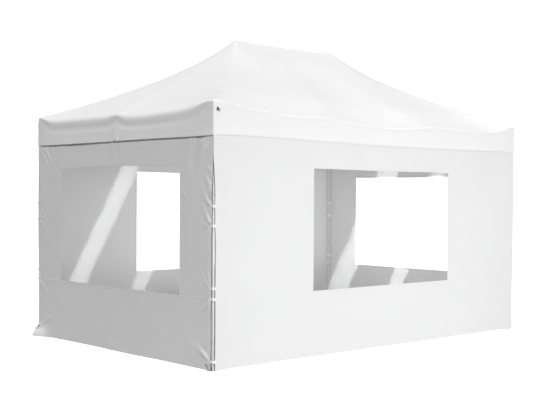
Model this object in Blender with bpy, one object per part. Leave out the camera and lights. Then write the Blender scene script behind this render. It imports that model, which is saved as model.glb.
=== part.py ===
"""Folding marquee tent, 4.5 m by 3 m, with four walls that each have a clear window.

Metres, +Z up. The origin is on the ground at the middle of the footprint, X runs along the
long side and Y along the short one. The front is the long side at -Y, the left the short side at -X.
"""

from math import cos, pi, sin

import bmesh
import bpy
from mathutils import Matrix, Vector
from mathutils.bvhtree import BVHTree

# Footprint and roof
LENGTH = 4.5
WIDTH = 3.0
EAVE_Z = 2.353  # top of the roof cover over a corner
ROOF_RISE = 0.846  # from there to the end of the ridge
HIP_SHAPE = ((0.60, 1), (0.29, 2), (0.11, 8))  # share of the rise and power of the way up a hip
RIDGE_HALF = 0.735
RIDGE_SAG = 0.013
LONG_EAVE_SAG = 0.090
SHORT_EAVE_SAG = 0.075
VALANCE_BOTTOM_Z = 2.05
VALANCE_SEAT = 0.0009  # gap under the roof panels, which slope across it at the corners

# Cloth
COVER_THICKNESS = 0.004
WALL_THICKNESS = 0.003
WALL_TOP_Z = 2.20
WALL_BOTTOM_Z = 0.006
WALL_CORNER_GAP = 0.025  # from the tent's outer corner to the end of each wall
WINDOW_WIDTH = 2.04
WINDOW_BOTTOM_Z = 0.63
WINDOW_TOP_Z = 1.79

# Legs and feet
LEG_INSET = 0.031  # from the valance's outer face to a leg's centre
OUTER_LEG_SIZE = 0.036
OUTER_LEG_BORE = 0.031
OUTER_LEG_BOTTOM_Z = 0.92
INNER_LEG_SIZE = 0.030
INNER_LEG_TOP_Z = 1.30
FOOT_SIZE = 0.085
FOOT_PLATE_THICKNESS = 0.005
FOOT_SOCKET_TOP_Z = 0.045
FOOT_SOCKET_FLOOR_Z = 0.012
PEG_HOLE_DIAMETER = 0.011
PEG_HOLE_INSET = 0.014

# Brackets
BRACKET_SIZE = 0.044
CORNER_BRACKET_BOTTOM_Z = 2.205
LEG_CAP_THICKNESS = 0.030
SLIDER_HALF_HEIGHT = 0.024
CHEEK_THICKNESS = 0.004
CHEEK_HALF_HEIGHT = 0.018
CHEEK_REACH = 0.014  # past the pivot
CHEEK_ROOT = 0.010  # from the joint's centre, inside what carries the cheek

# Scissor trusses
TRUSS_TOP_Z = 2.238
TRUSS_BOTTOM_Z = 1.960
BAR_THICKNESS = 0.012
BAR_HEIGHT = 0.022
BAR_OFFSET = 0.007  # from the truss's middle plane to the middle of a bar
BAR_OVERRUN = 0.005  # past the pivot
PIVOT_INSET = 0.036  # from a leg's centre to the first pivot
PIN_DIAMETER = 0.010
JOINT_LENGTH = 0.044
JOINT_DEPTH = 0.032
JOINT_HALF_HEIGHT = 0.018

# Masts
MAST_DIAMETER = 0.025
MAST_BOTTOM_Z = 1.935
MAST_CAP_RADIUS = 0.025
MAST_CAP_DROP = 0.0160  # from the top of the ridge's end to the top of the cap

# Guy rings
GUY_RING_Z = 2.285
FRONT_GUY_RING_X = 2.204
BACK_GUY_RING_X = 2.232
GUY_TAB_WIDTH = 0.020
GUY_TAB_THICKNESS = 0.003
GUY_TAB_LENGTH = 0.014
GUY_RING_RADIUS = 0.014
GUY_RING_WIRE = 0.0025
GUY_RING_DROOP = pi / 4

GAP = 0.0003  # between pieces that touch

PART_NAME = "marquee_tent"
HALF_LENGTH = LENGTH / 2
HALF_WIDTH = WIDTH / 2
LEG_X = HALF_LENGTH - LEG_INSET
LEG_Y = HALF_WIDTH - LEG_INSET
LONG_PIVOT = LEG_X - PIVOT_INSET
SHORT_PIVOT = LEG_Y - PIVOT_INSET
CROSS_X = LONG_PIVOT / 3
RIDGE_PIVOT = CROSS_X - PIVOT_INSET
CHEEK_INNER = BAR_OFFSET + BAR_THICKNESS / 2 + GAP
WALL_INSET = COVER_THICKNESS + GAP  # from the valance's outer face to a wall's
CORNERS = (("front_left", -1, -1), ("front_right", 1, -1), ("back_left", -1, 1), ("back_right", 1, 1))


def clear_scene():
    """Remove every object of the file that is open."""
    for obj in list(bpy.data.objects):
        bpy.data.objects.remove(obj)


def make_collection(name):
    """A new collection under the scene's own."""
    collection = bpy.data.collections.new(name)
    bpy.context.scene.collection.children.link(collection)
    return collection


def make_material(name, colour, roughness, metallic=0.0, alpha=1.0):
    """A Principled material with a plain colour."""
    material = bpy.data.materials.new(name)
    material.use_nodes = True
    shader = material.node_tree.nodes["Principled BSDF"]
    shader.inputs["Base Color"].default_value = (*colour, 1.0)
    shader.inputs["Roughness"].default_value = roughness
    shader.inputs["Metallic"].default_value = metallic
    shader.inputs["Alpha"].default_value = alpha
    material.diffuse_color = (*colour, alpha)
    return material


def add_object(name, bm, collection, material=None):
    """Turn a bmesh into an object whose faces point out."""
    bmesh.ops.recalc_face_normals(bm, faces=bm.faces)
    mesh = bpy.data.meshes.new(name)
    bm.to_mesh(mesh)
    bm.free()
    obj = bpy.data.objects.new(name, mesh)
    if material:
        mesh.materials.append(material)
    collection.objects.link(obj)
    return obj


def box(low, high):
    """A bmesh box between two opposite corners."""
    low, high = Vector(low), Vector(high)
    bm = bmesh.new()
    matrix = Matrix.Translation((low + high) / 2) @ Matrix.Diagonal((*(high - low), 1.0))
    bmesh.ops.create_cube(bm, size=1.0, matrix=matrix)
    return bm


def cylinder(centre, diameter, length, axis="Z", sides=12):
    """A bmesh cylinder about its centre, along X, Y or Z."""
    turn = {"X": Matrix.Rotation(pi / 2, 4, "Y"), "Y": Matrix.Rotation(pi / 2, 4, "X"), "Z": Matrix()}[axis]
    bm = bmesh.new()
    radius = diameter / 2
    bmesh.ops.create_cone(
        bm, cap_ends=True, segments=sides, radius1=radius, radius2=radius, depth=length,
        matrix=Matrix.Translation(centre) @ turn,
    )
    return bm


def sheet(point, columns, rows, offset):
    """A sheet whose face is point(u, v), with u and v from 0 to 1, thickened by the vector offset."""
    bm = bmesh.new()
    bmesh.ops.create_grid(bm, x_segments=columns, y_segments=rows, size=0.5)
    for vert in bm.verts:
        vert.co = point(vert.co.x + 0.5, vert.co.y + 0.5)
    extruded = bmesh.ops.extrude_face_region(bm, geom=bm.faces[:], use_keep_orig=True)["geom"]
    moved = [item for item in extruded if isinstance(item, bmesh.types.BMVert)]
    bmesh.ops.translate(bm, verts=moved, vec=Vector(offset))
    return bm


def combine(name, solids, collection, material, cuts=()):
    """One object that is the union of the solids, less the cuts."""
    base = add_object(name, solids[0], collection, material)
    tools = []
    for operation, shapes in (("UNION", solids[1:]), ("DIFFERENCE", cuts)):
        for shape in shapes:
            tool = add_object(f"{name}_tool", shape, collection)
            modifier = base.modifiers.new(operation.title(), "BOOLEAN")
            modifier.operation = operation
            modifier.solver = "EXACT"
            modifier.object = tool
            tools.append(tool)
    evaluated = base.evaluated_get(bpy.context.evaluated_depsgraph_get())
    mesh = bpy.data.meshes.new_from_object(evaluated)
    base.modifiers.clear()
    base.data = mesh
    mesh.name = name
    for tool in tools:
        bpy.data.objects.remove(tool)
    return base


def roof_height(x, y):
    """Height of the roof cover's top face."""
    along, across = max(abs(x) - RIDGE_HALF, 0.0) / (HALF_LENGTH - RIDGE_HALF), abs(y) / HALF_WIDTH
    down = max(along, across)
    up = 1.0 - down
    rise = ROOF_RISE * sum(share * up**power for share, power in HIP_SHAPE)
    if across >= along:
        position = abs(x) / (RIDGE_HALF + (HALF_LENGTH - RIDGE_HALF) * down)
        sag = LONG_EAVE_SAG * down + RIDGE_SAG * up
    else:
        position = abs(y) / (HALF_WIDTH * down)
        sag = SHORT_EAVE_SAG * down
    return EAVE_Z + rise - sag * (1.0 - min(position, 1.0) ** 4)


def long_panel_point(side):
    """The front or back roof panel, from eave to ridge."""

    def point(u, v):
        y = side * (GAP / 2 + (HALF_WIDTH - GAP / 2) * (1.0 - v))
        half = RIDGE_HALF + (HALF_LENGTH - RIDGE_HALF) * abs(y) / HALF_WIDTH - GAP / 2
        x = (2.0 * u - 1.0) * half
        return Vector((x, y, roof_height(x, y)))

    return point


def end_panel_point(side):
    """The left or right roof panel, from eave to peak."""

    def point(u, v):
        down = 1.0 - v * (1.0 - 2.0 * GAP / HALF_WIDTH)
        x = side * (RIDGE_HALF + (HALF_LENGTH - RIDGE_HALF) * down)
        y = (2.0 * u - 1.0) * (HALF_WIDTH * down - GAP)
        return Vector((x, y, roof_height(x, y)))

    return point


def make_roof(collection, cloth):
    """Four panels that meet on the ridge and the hips, each thickened straight down."""
    down = (0.0, 0.0, -COVER_THICKNESS)
    panels = []
    for name, side in (("front", -1), ("back", 1)):
        shape = sheet(long_panel_point(side), 14, 9, down)
        panels.append(add_object(f"{name}_roof_panel", shape, collection, cloth))
    for name, side in (("left", -1), ("right", 1)):
        shape = sheet(end_panel_point(side), 10, 9, down)
        panels.append(add_object(f"{name}_roof_panel", shape, collection, cloth))
    return panels


def underside(panels, x, y, half):
    """Lowest point of the roof panels over a square about (x, y)."""
    depsgraph = bpy.context.evaluated_depsgraph_get()
    steps = [half * (step / 4 - 1.0) for step in range(9)]
    heights = []
    for panel in panels:
        tree = BVHTree.FromObject(panel, depsgraph)
        for dx in steps:
            for dy in steps:
                hit = tree.ray_cast(Vector((x + dx, y + dy, 0.0)), Vector((0.0, 0.0, 1.0)))[0]
                if hit:
                    heights.append(hit.z)
    return min(heights)


def make_valances(collection, cloth):
    """The cloth that hangs from the eaves, its top edge following their sag."""
    lift = COVER_THICKNESS + VALANCE_SEAT

    def long_point(side):
        def point(u, v):
            x = (2.0 * u - 1.0) * HALF_LENGTH
            top = roof_height(x, HALF_WIDTH) - lift
            return Vector((x, side * HALF_WIDTH, VALANCE_BOTTOM_Z + v * (top - VALANCE_BOTTOM_Z)))

        return point

    def short_point(side):
        def point(u, v):
            y = (2.0 * u - 1.0) * (HALF_WIDTH - COVER_THICKNESS - GAP)
            top = roof_height(HALF_LENGTH, y) - lift
            return Vector((side * HALF_LENGTH, y, VALANCE_BOTTOM_Z + v * (top - VALANCE_BOTTOM_Z)))

        return point

    for name, side in (("front", -1), ("back", 1)):
        inward = (0.0, -side * COVER_THICKNESS, 0.0)
        add_object(f"{name}_valance", sheet(long_point(side), 14, 1, inward), collection, cloth)
    for name, side in (("left", -1), ("right", 1)):
        inward = (-side * COVER_THICKNESS, 0.0, 0.0)
        add_object(f"{name}_valance", sheet(short_point(side), 10, 1, inward), collection, cloth)


def slab(side, along_x, half_length, low_z, high_z, grow=0.0):
    """A thin upright slab in the plane of a wall. grow makes it thicker, for a cutter."""
    outer = (HALF_WIDTH if along_x else HALF_LENGTH) - WALL_INSET
    near, far = sorted((side * (outer + grow), side * (outer - WALL_THICKNESS - grow)))
    if along_x:
        return box((-half_length, near, low_z), (half_length, far, high_z))
    return box((near, -half_length, low_z), (far, half_length, high_z))


def make_walls(collection, cloth, film):
    """Four walls, each with its window cut through and a clear film set in the cut."""
    half_window = WINDOW_WIDTH / 2
    for name, side, along_x in (("front", -1, True), ("back", 1, True), ("left", -1, False), ("right", 1, False)):
        half = (HALF_LENGTH if along_x else HALF_WIDTH) - WALL_CORNER_GAP
        cut = slab(side, along_x, half_window, WINDOW_BOTTOM_Z, WINDOW_TOP_Z, grow=0.01)
        wall = slab(side, along_x, half, WALL_BOTTOM_Z, WALL_TOP_Z)
        combine(f"{name}_wall", [wall], collection, cloth, cuts=[cut])
        pane = slab(side, along_x, half_window - GAP, WINDOW_BOTTOM_Z + GAP, WINDOW_TOP_Z - GAP)
        add_object(f"{name}_window", pane, collection, film)


def post(x, y, size, low_z, high_z):
    """A square upright bar about (x, y)."""
    half = size / 2
    return box((x - half, y - half, low_z), (x + half, y + half, high_z))


def forks(x, y, z, side_x, side_y, reach):
    """Cheek pairs that hold the ends of two trusses, towards the middle of the tent."""
    solids = []
    inner, outer = CHEEK_INNER, CHEEK_INNER + CHEEK_THICKNESS
    low_z, high_z = z - CHEEK_HALF_HEIGHT, z + CHEEK_HALF_HEIGHT
    for sign in (-1, 1):
        near, far = sorted((sign * inner, sign * outer))
        if side_x:
            low_x, high_x = sorted((x - side_x * CHEEK_ROOT, x - side_x * reach))
            solids.append(box((low_x, y + near, low_z), (high_x, y + far, high_z)))
        if side_y:
            low_y, high_y = sorted((y - side_y * CHEEK_ROOT, y - side_y * reach))
            solids.append(box((x + near, low_y, low_z), (x + far, high_y, high_z)))
    return solids


def make_legs(panels, collection, aluminium, nylon, steel):
    """At each corner a telescopic leg, its foot, the bracket that caps it and the one that slides on it."""
    reach = PIVOT_INSET + CHEEK_REACH
    bracket_top = underside(panels, LEG_X, LEG_Y, BRACKET_SIZE / 2) - GAP
    leg_top = bracket_top - LEG_CAP_THICKNESS - GAP
    for name, sx, sy in CORNERS:
        x, y = sx * LEG_X, sy * LEG_Y
        bore = post(x, y, OUTER_LEG_BORE, OUTER_LEG_BOTTOM_Z - 0.01, leg_top + 0.01)
        tube = post(x, y, OUTER_LEG_SIZE, OUTER_LEG_BOTTOM_Z, leg_top)
        combine(f"{name}_outer_leg", [tube], collection, aluminium, cuts=[bore])

        socket_floor = FOOT_SOCKET_FLOOR_Z + GAP
        inner = post(x, y, INNER_LEG_SIZE, socket_floor, INNER_LEG_TOP_Z)
        add_object(f"{name}_inner_leg", inner, collection, aluminium)
        make_foot(f"{name}_foot", sx, sy, collection, steel)

        body = post(x, y, BRACKET_SIZE, CORNER_BRACKET_BOTTOM_Z, bracket_top)
        socket = post(x, y, OUTER_LEG_SIZE + 2 * GAP, CORNER_BRACKET_BOTTOM_Z - 0.01, leg_top + GAP)
        arms = forks(x, y, TRUSS_TOP_Z, sx, sy, reach)
        combine(f"{name}_corner_bracket", [body, *arms], collection, nylon, cuts=[socket])

        low_z, high_z = TRUSS_BOTTOM_Z - SLIDER_HALF_HEIGHT, TRUSS_BOTTOM_Z + SLIDER_HALF_HEIGHT
        sleeve = post(x, y, BRACKET_SIZE, low_z, high_z)
        passage = post(x, y, OUTER_LEG_SIZE + 2 * GAP, low_z - 0.01, high_z + 0.01)
        arms = forks(x, y, TRUSS_BOTTOM_Z, sx, sy, reach)
        combine(f"{name}_sliding_bracket", [sleeve, *arms], collection, nylon, cuts=[passage])


def make_foot(name, sx, sy, collection, steel):
    """A square plate with a socket for the leg near its outer corner and two peg holes."""
    x, y = sx * LEG_X, sy * LEG_Y
    edge = INNER_LEG_SIZE / 2 + 0.003
    outer_x, outer_y = x + sx * edge, y + sy * edge
    inner_x, inner_y = outer_x - sx * FOOT_SIZE, outer_y - sy * FOOT_SIZE
    low = (min(outer_x, inner_x), min(outer_y, inner_y), 0.0)
    high = (max(outer_x, inner_x), max(outer_y, inner_y), FOOT_PLATE_THICKNESS)
    socket = post(x, y, 2 * edge, FOOT_PLATE_THICKNESS / 2, FOOT_SOCKET_TOP_Z)
    cavity = post(x, y, INNER_LEG_SIZE + 2 * GAP, FOOT_SOCKET_FLOOR_Z, FOOT_SOCKET_TOP_Z + 0.01)
    near_x, near_y = inner_x + sx * PEG_HOLE_INSET, inner_y + sy * PEG_HOLE_INSET
    far_x, far_y = outer_x - sx * PEG_HOLE_INSET, outer_y - sy * PEG_HOLE_INSET
    holes = [
        cylinder((near_x, far_y, 0.0), PEG_HOLE_DIAMETER, 0.05),
        cylinder((far_x, near_y, 0.0), PEG_HOLE_DIAMETER, 0.05),
    ]
    combine(name, [box(low, high), socket], collection, steel, cuts=[cavity, *holes])


def bar(start, end, offset):
    """A flat bar between two points of the XZ plane, shifted by offset along Y."""
    start, end = Vector(start), Vector(end)
    length = (end - start).length + 2 * BAR_OVERRUN
    slope = Vector((end.x - start.x, 0.0, end.z - start.z)).normalized()
    frame = Matrix((slope, (0.0, 1.0, 0.0), (-slope.z, 0.0, slope.x))).transposed().to_4x4()
    centre = (start + end) / 2 + Vector((0.0, offset, 0.0))
    bm = bmesh.new()
    matrix = Matrix.Translation(centre) @ frame @ Matrix.Diagonal((length, BAR_THICKNESS, BAR_HEIGHT, 1.0))
    bmesh.ops.create_cube(bm, size=1.0, matrix=matrix)
    return bm


def make_truss(name, pivots, matrix, collection, material, fork=None, mast=False):
    """Scissors between the pivots, drawn along X about Y = 0 and then placed by the matrix.

    fork is "across" for cheeks that hold another truss on the +Y side of each inner joint, and
    "along" a sign for cheeks on the X side of a mast joint. mast drills the joints for a mast.
    """
    solids, cuts = [], []
    for left, right in zip(pivots, pivots[1:]):
        solids.append(bar((left, 0, TRUSS_TOP_Z), (right, 0, TRUSS_BOTTOM_Z), -BAR_OFFSET))
        solids.append(bar((left, 0, TRUSS_BOTTOM_Z), (right, 0, TRUSS_TOP_Z), BAR_OFFSET))
        middle = ((left + right) / 2, 0.0, (TRUSS_TOP_Z + TRUSS_BOTTOM_Z) / 2)
        solids.append(cylinder(middle, PIN_DIAMETER, 2 * CHEEK_INNER + CHEEK_THICKNESS, axis="Y", sides=8))
    depth = MAST_DIAMETER + 0.018 if mast else JOINT_DEPTH
    for pivot in pivots[1:-1]:
        for z in (TRUSS_TOP_Z, TRUSS_BOTTOM_Z):
            low = (pivot - JOINT_LENGTH / 2, -depth / 2, z - JOINT_HALF_HEIGHT - 0.002)
            high = (pivot + JOINT_LENGTH / 2, depth / 2, z + JOINT_HALF_HEIGHT + 0.002)
            solids.append(box(low, high))
            if fork:
                solids += forks(pivot, 0.0, z, 0, -fork, PIVOT_INSET + CHEEK_REACH)
        if mast:
            middle = (pivot, 0.0, (TRUSS_TOP_Z + TRUSS_BOTTOM_Z) / 2)
            cuts.append(cylinder(middle, MAST_DIAMETER + 2 * GAP, 1.0))
    truss = combine(name, solids, collection, material, cuts=cuts)
    truss.data.transform(matrix)
    return truss


def make_trusses(collection, aluminium):
    """Side trusses between the corner brackets, two cross trusses and the ridge truss between the masts."""
    quarter = Matrix.Rotation(pi / 2, 4, "Z")
    long_pivots = (-LONG_PIVOT, -CROSS_X, CROSS_X, LONG_PIVOT)
    short_pivots = (-SHORT_PIVOT, 0.0, SHORT_PIVOT)
    for name, side in (("front", -1), ("back", 1)):
        place = Matrix.Translation((0.0, side * LEG_Y, 0.0))
        make_truss(f"{name}_truss", long_pivots, place, collection, aluminium, fork=-side)
    for name, side in (("left", -1), ("right", 1)):
        place = Matrix.Translation((side * LEG_X, 0.0, 0.0)) @ quarter
        make_truss(f"{name}_truss", short_pivots, place, collection, aluminium)
        place = Matrix.Translation((side * CROSS_X, 0.0, 0.0)) @ quarter
        make_truss(f"{name}_cross_truss", short_pivots, place, collection, aluminium, fork=side, mast=True)
    make_truss("ridge_truss", (-RIDGE_PIVOT, RIDGE_PIVOT), Matrix(), collection, aluminium)


def make_masts(collection, aluminium):
    """Two masts that stand in the cross trusses and hold up the ends of the ridge on rounded caps."""
    cap_centre = EAVE_Z + ROOF_RISE - MAST_CAP_DROP - MAST_CAP_RADIUS
    for name, side in (("left", -1), ("right", 1)):
        x = side * CROSS_X
        length = cap_centre - MAST_BOTTOM_Z
        pole = cylinder((x, 0.0, MAST_BOTTOM_Z + length / 2), MAST_DIAMETER, length)
        cap = bmesh.new()
        place = Matrix.Translation((side * RIDGE_HALF, 0.0, cap_centre))
        bmesh.ops.create_uvsphere(cap, u_segments=16, v_segments=10, radius=MAST_CAP_RADIUS, matrix=place)
        combine(f"{name}_mast", [pole, cap], collection, aluminium)


def make_guy_rings(collection, steel):
    """A ring on a short webbing tab at each end of the long valances, drooping outwards."""
    for name, sx, sy in CORNERS:
        x = sx * (FRONT_GUY_RING_X if sy < 0 else BACK_GUY_RING_X)
        face = sy * (HALF_WIDTH + GAP)
        end = face + sy * GUY_TAB_LENGTH
        half = GUY_TAB_WIDTH / 2
        low = (x - half, min(face, end), GUY_RING_Z - GUY_TAB_THICKNESS / 2)
        high = (x + half, max(face, end), GUY_RING_Z + GUY_TAB_THICKNESS / 2)
        ring_y = end + sy * GUY_RING_RADIUS * cos(GUY_RING_DROOP)
        ring_z = GUY_RING_Z - GUY_RING_RADIUS * sin(GUY_RING_DROOP)
        place = Matrix.Translation((x, ring_y, ring_z)) @ Matrix.Rotation(-sy * GUY_RING_DROOP, 4, "X")
        combine(f"{name}_guy_ring", [box(low, high), torus(place)], collection, steel)


def torus(matrix):
    """A guy ring's wire as a turned ring."""
    bm = bmesh.new()
    bmesh.ops.create_circle(bm, segments=6, radius=GUY_RING_WIRE, matrix=Matrix.Rotation(pi / 2, 4, "X"))
    bmesh.ops.translate(bm, verts=bm.verts, vec=(GUY_RING_RADIUS, 0.0, 0.0))
    bmesh.ops.spin(
        bm, geom=bm.verts[:] + bm.edges[:], axis=(0.0, 0.0, 1.0), cent=(0.0, 0.0, 0.0),
        angle=2 * pi, steps=16, use_merge=True,
    )
    bmesh.ops.remove_doubles(bm, verts=bm.verts, dist=0.00001)
    bmesh.ops.transform(bm, matrix=matrix, verts=bm.verts)
    return bm


def main():
    """Build the whole tent in one collection."""
    clear_scene()
    collection = make_collection(PART_NAME)
    cloth = make_material("coated_polyester", (0.82, 0.83, 0.84), 0.55)
    film = make_material("clear_film", (0.9, 0.92, 0.94), 0.08, alpha=0.25)
    aluminium = make_material("aluminium", (0.75, 0.76, 0.78), 0.35, metallic=1.0)
    nylon = make_material("nylon", (0.25, 0.26, 0.28), 0.5)
    steel = make_material("steel", (0.45, 0.46, 0.48), 0.35, metallic=1.0)
    panels = make_roof(collection, cloth)
    make_valances(collection, cloth)
    make_walls(collection, cloth, film)
    make_legs(panels, collection, aluminium, nylon, steel)
    make_trusses(collection, aluminium)
    make_masts(collection, aluminium)
    make_guy_rings(collection, steel)


main()
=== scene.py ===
"""Looks of a folding marquee tent, 4.5 m by 3 m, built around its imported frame.

Metres, +Z up, in the frame's own place. X runs along the long side and Y along the short one, the
front is at -Y and the left at -X. Each operator makes one piece or one group of like pieces.
"""

from collections import namedtuple
from math import atan2, cos, exp, hypot, pi, radians, sin, sqrt

import bmesh
import bpy
from bpy.props import FloatProperty, FloatVectorProperty, PointerProperty
from bpy.types import Operator, Panel, PropertyGroup
from mathutils import Matrix, Vector, noise


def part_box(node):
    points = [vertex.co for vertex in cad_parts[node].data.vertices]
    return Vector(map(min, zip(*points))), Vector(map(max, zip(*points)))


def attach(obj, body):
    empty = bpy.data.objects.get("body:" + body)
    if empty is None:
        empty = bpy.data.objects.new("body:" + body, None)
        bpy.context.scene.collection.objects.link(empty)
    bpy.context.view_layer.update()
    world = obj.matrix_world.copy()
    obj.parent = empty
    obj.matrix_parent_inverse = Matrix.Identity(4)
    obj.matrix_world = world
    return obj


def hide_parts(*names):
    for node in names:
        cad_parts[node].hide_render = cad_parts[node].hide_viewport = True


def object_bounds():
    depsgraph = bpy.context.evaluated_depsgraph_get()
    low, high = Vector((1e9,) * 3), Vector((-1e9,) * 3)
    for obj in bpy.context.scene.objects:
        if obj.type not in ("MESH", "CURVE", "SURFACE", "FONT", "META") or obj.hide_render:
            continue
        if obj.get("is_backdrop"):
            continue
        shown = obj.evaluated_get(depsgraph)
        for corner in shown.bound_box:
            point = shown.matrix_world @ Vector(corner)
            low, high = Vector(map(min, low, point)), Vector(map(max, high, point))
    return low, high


bl_info = {
    "name": "Marquee Tent Looks",
    "version": (1, 0, 0),
    "blender": (4, 5, 0),
    "location": "3D View > Sidebar > Tent",
    "description": "Cloth, windows, seams, straps and light of a folding marquee tent",
    "category": "Object",
}

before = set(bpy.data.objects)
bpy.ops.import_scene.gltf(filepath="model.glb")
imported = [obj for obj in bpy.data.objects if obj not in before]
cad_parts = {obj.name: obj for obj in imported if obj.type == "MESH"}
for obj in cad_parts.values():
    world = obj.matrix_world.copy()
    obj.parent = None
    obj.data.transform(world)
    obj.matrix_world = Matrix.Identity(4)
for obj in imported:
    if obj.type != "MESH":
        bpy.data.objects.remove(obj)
CAD_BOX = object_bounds()

# Sizes read from the frame
HALF_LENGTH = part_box("front_valance")[1].x
HALF_WIDTH = -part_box("front_valance")[0].y
VALANCE_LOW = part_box("front_valance")[0].z
RIDGE_HALF = -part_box("left_roof_panel")[1].x
PEAK_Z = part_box("left_roof_panel")[1].z
WALL_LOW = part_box("front_wall")[0].z
WALL_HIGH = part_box("front_wall")[1].z
WINDOW_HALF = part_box("front_window")[1].x
WINDOW_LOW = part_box("front_window")[0].z
WINDOW_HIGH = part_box("front_window")[1].z
LEG_LOW, LEG_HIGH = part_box("front_right_inner_leg")
LEG_X = (LEG_LOW.x + LEG_HIGH.x) / 2
LEG_Y = -(LEG_LOW.y + LEG_HIGH.y) / 2
INNER_LEG_HALF = (LEG_HIGH.x - LEG_LOW.x) / 2
OUTER_LEG_HALF = (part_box("front_right_outer_leg")[1].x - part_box("front_right_outer_leg")[0].x) / 2
OUTER_LEG_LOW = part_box("front_right_outer_leg")[0].z

# Roof cover
CORNER_Z = 2.353
HIP_SHAPE = ((0.60, 1), (0.29, 2), (0.11, 8))  # share of a hip's rise, power of the way up that it follows
HIP_SOFTNESS = 0.12
RIDGE_SAG = 0.013
RIDGE_ROUNDING = 0.006
SAG_SPREAD = 1.15  # power of the way down a slope with which an eave's sag comes in
ROOF_WAVE_DEPTH, ROOF_WAVES = 0.004, 1.3  # slow waves of a slope, and how many to a metre
ROOF_CREASE_DEPTH, ROOF_CREASES = 0.0016, 1.9
FAN_DEPTH, FAN_FOLDS, FAN_REACH = 0.0022, 11.0, 0.35  # folds that run out of a corner

# Eaves and valance: place along the side from its middle, height
LONG_EAVE = (
    (-2.25, 2.354), (-2.17, 2.351), (-2.05, 2.338), (-1.84, 2.303), (-1.57, 2.283), (-1.34, 2.269),
    (-1.08, 2.270), (-0.76, 2.278), (-0.53, 2.253), (-0.24, 2.226), (0.10, 2.222), (0.38, 2.234),
    (0.71, 2.262), (1.06, 2.263), (1.45, 2.258), (1.75, 2.263), (1.98, 2.288), (2.12, 2.328),
    (2.20, 2.350), (2.25, 2.354),
)
SHORT_EAVE = (
    (-1.50, 2.354), (-1.44, 2.349), (-1.34, 2.331), (-1.17, 2.317), (-0.67, 2.315), (-0.27, 2.313),
    (0.00, 2.315), (0.23, 2.295), (0.50, 2.291), (0.76, 2.299), (1.02, 2.307), (1.26, 2.331),
    (1.42, 2.349), (1.50, 2.354),
)
LONG_VALANCE_LOW = (
    (-2.25, 2.054), (-1.90, 2.062), (-0.90, 2.052), (0.20, 2.040), (1.20, 2.045), (2.25, 2.056),
)
TRUSS_JOINT = 0.73  # along a long side, from its middle
CORNER_FOLD = 0.020  # how far the roll of the eaves reaches at a corner
CORNER_LOW = 0.005  # how much shorter the valance is at a corner
LONG_FOLD_BULGE, SHORT_FOLD_BULGE = 0.003, 0.009
VALANCE_SEAM = 0.012  # below the fold
VALANCE_WAVE_DEPTH, VALANCE_RIPPLE_DEPTH = 0.0030, 0.0016
VALANCE_BULGE = {"front": 0.007, "right": 0.026, "back": 0.007, "left": 0.011}  # at the lower edge
VALANCE_END = 0.14  # from a corner to where the valance moves freely
# The pleat over the truss joint in the middle of a short side
PLEAT_DEPTH, PLEAT_MIDDLE, PLEAT_HALF, PLEAT_EDGE = 0.007, 0.006, 0.066, 0.050
PLEAT_REACH = 0.13  # from a side's middle to where the mesh's columns are as close as elsewhere
SLIT_DEPTH, SLIT_WIDTH = 0.010, 0.009  # at the pleat's lower edge
NOTCH_HEIGHT, NOTCH_WIDTH = 0.009, 0.014
LONG_TUCK = 0.0010  # how far the valance draws in under the fold
SHORT_TUCK, SHORT_TUCK_EASE = 0.0040, 0.0020
JOINT_TUCK, JOINT_TUCK_PLACE, JOINT_TUCK_WIDTH = 0.0025, 0.16, 0.10
TUCK_FALL = 0.16  # share of the valance's height

# Walls
STRAP_HEIGHTS = (0.082, 0.624, 0.718, 1.262, 1.435)
FLARE_HEIGHT = 0.60
LOOSE_HEIGHT = 0.15
HEM_RISE = 0.005  # how far the lower edge clears the ground in the mean
OPEN_ENDS = (("front", -1), ("left", 1))  # the walls' ends that leave a gap at their corner
CLOSED_FROM = 1.89  # above this height the walls' ends meet at the corners
WINDOW_BOW = {"left": 0.022}  # how far a window's top edge rises in the middle
WINDOW_SAG = -0.003  # the same, for the other windows
SLACK = {"back": (-0.060, 0.011), "right": (-0.055, -0.012)}  # how far a wall's middle slips along and up
# Cloth that a window holds flat: how far it reaches beside, below and above, and how it lets go
CALM_BESIDE, CALM_BELOW, CALM_ABOVE, CALM_FADE = 0.03, 0.02, 0.04, 0.12
HANGING_FOLD = 0.0050  # depth of the folds that run down from the top edge
# Folds of a short wall, each with its place along the top, its depth and its width
LEANING_FOLDS = ((1.18, 0.006, 0.035), (1.29, -0.006, 0.03), (1.38, 0.005, 0.03))
LEANING_FROM, FOLD_LEAN = 2.05, 0.28
HEAD_FOLDS = ((-0.07, 0.004, 0.018), (0.0, -0.004, 0.016), (0.06, 0.004, 0.018))
END_TUCK = 0.0034  # how far a short wall's end draws in behind the strap
FRAME_ROOM, LEG_ROOM, ROOM_HIGH = 0.030, 0.0036, 1.84  # how far in a wall may go, between and at the legs
VALANCE_ROOM = 0.0018  # how far out a wall may go behind the valance
SHORT_END_GAP, LONG_END_GAP = 0.0046, 0.0066  # from a wall's end to the valance's corner
CLOSED_END_GAP = 0.0065  # what a short wall's closed end keeps from the long wall
SCALLOP_DEPTH = 0.0030  # how far an open end draws in between two straps
OPENING = 0.008  # how much farther it stands off below
CREASE_DEPTH = 0.0105
LONG_CREASES = 0.35  # share of that depth on the long walls
CREASE_REACH = 0.46  # from a wall's end to where its creases stop
CREASE_TURN, CREASE_SHIFT = 9.0, 0.02  # degrees and height by which they differ from end to end
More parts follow.
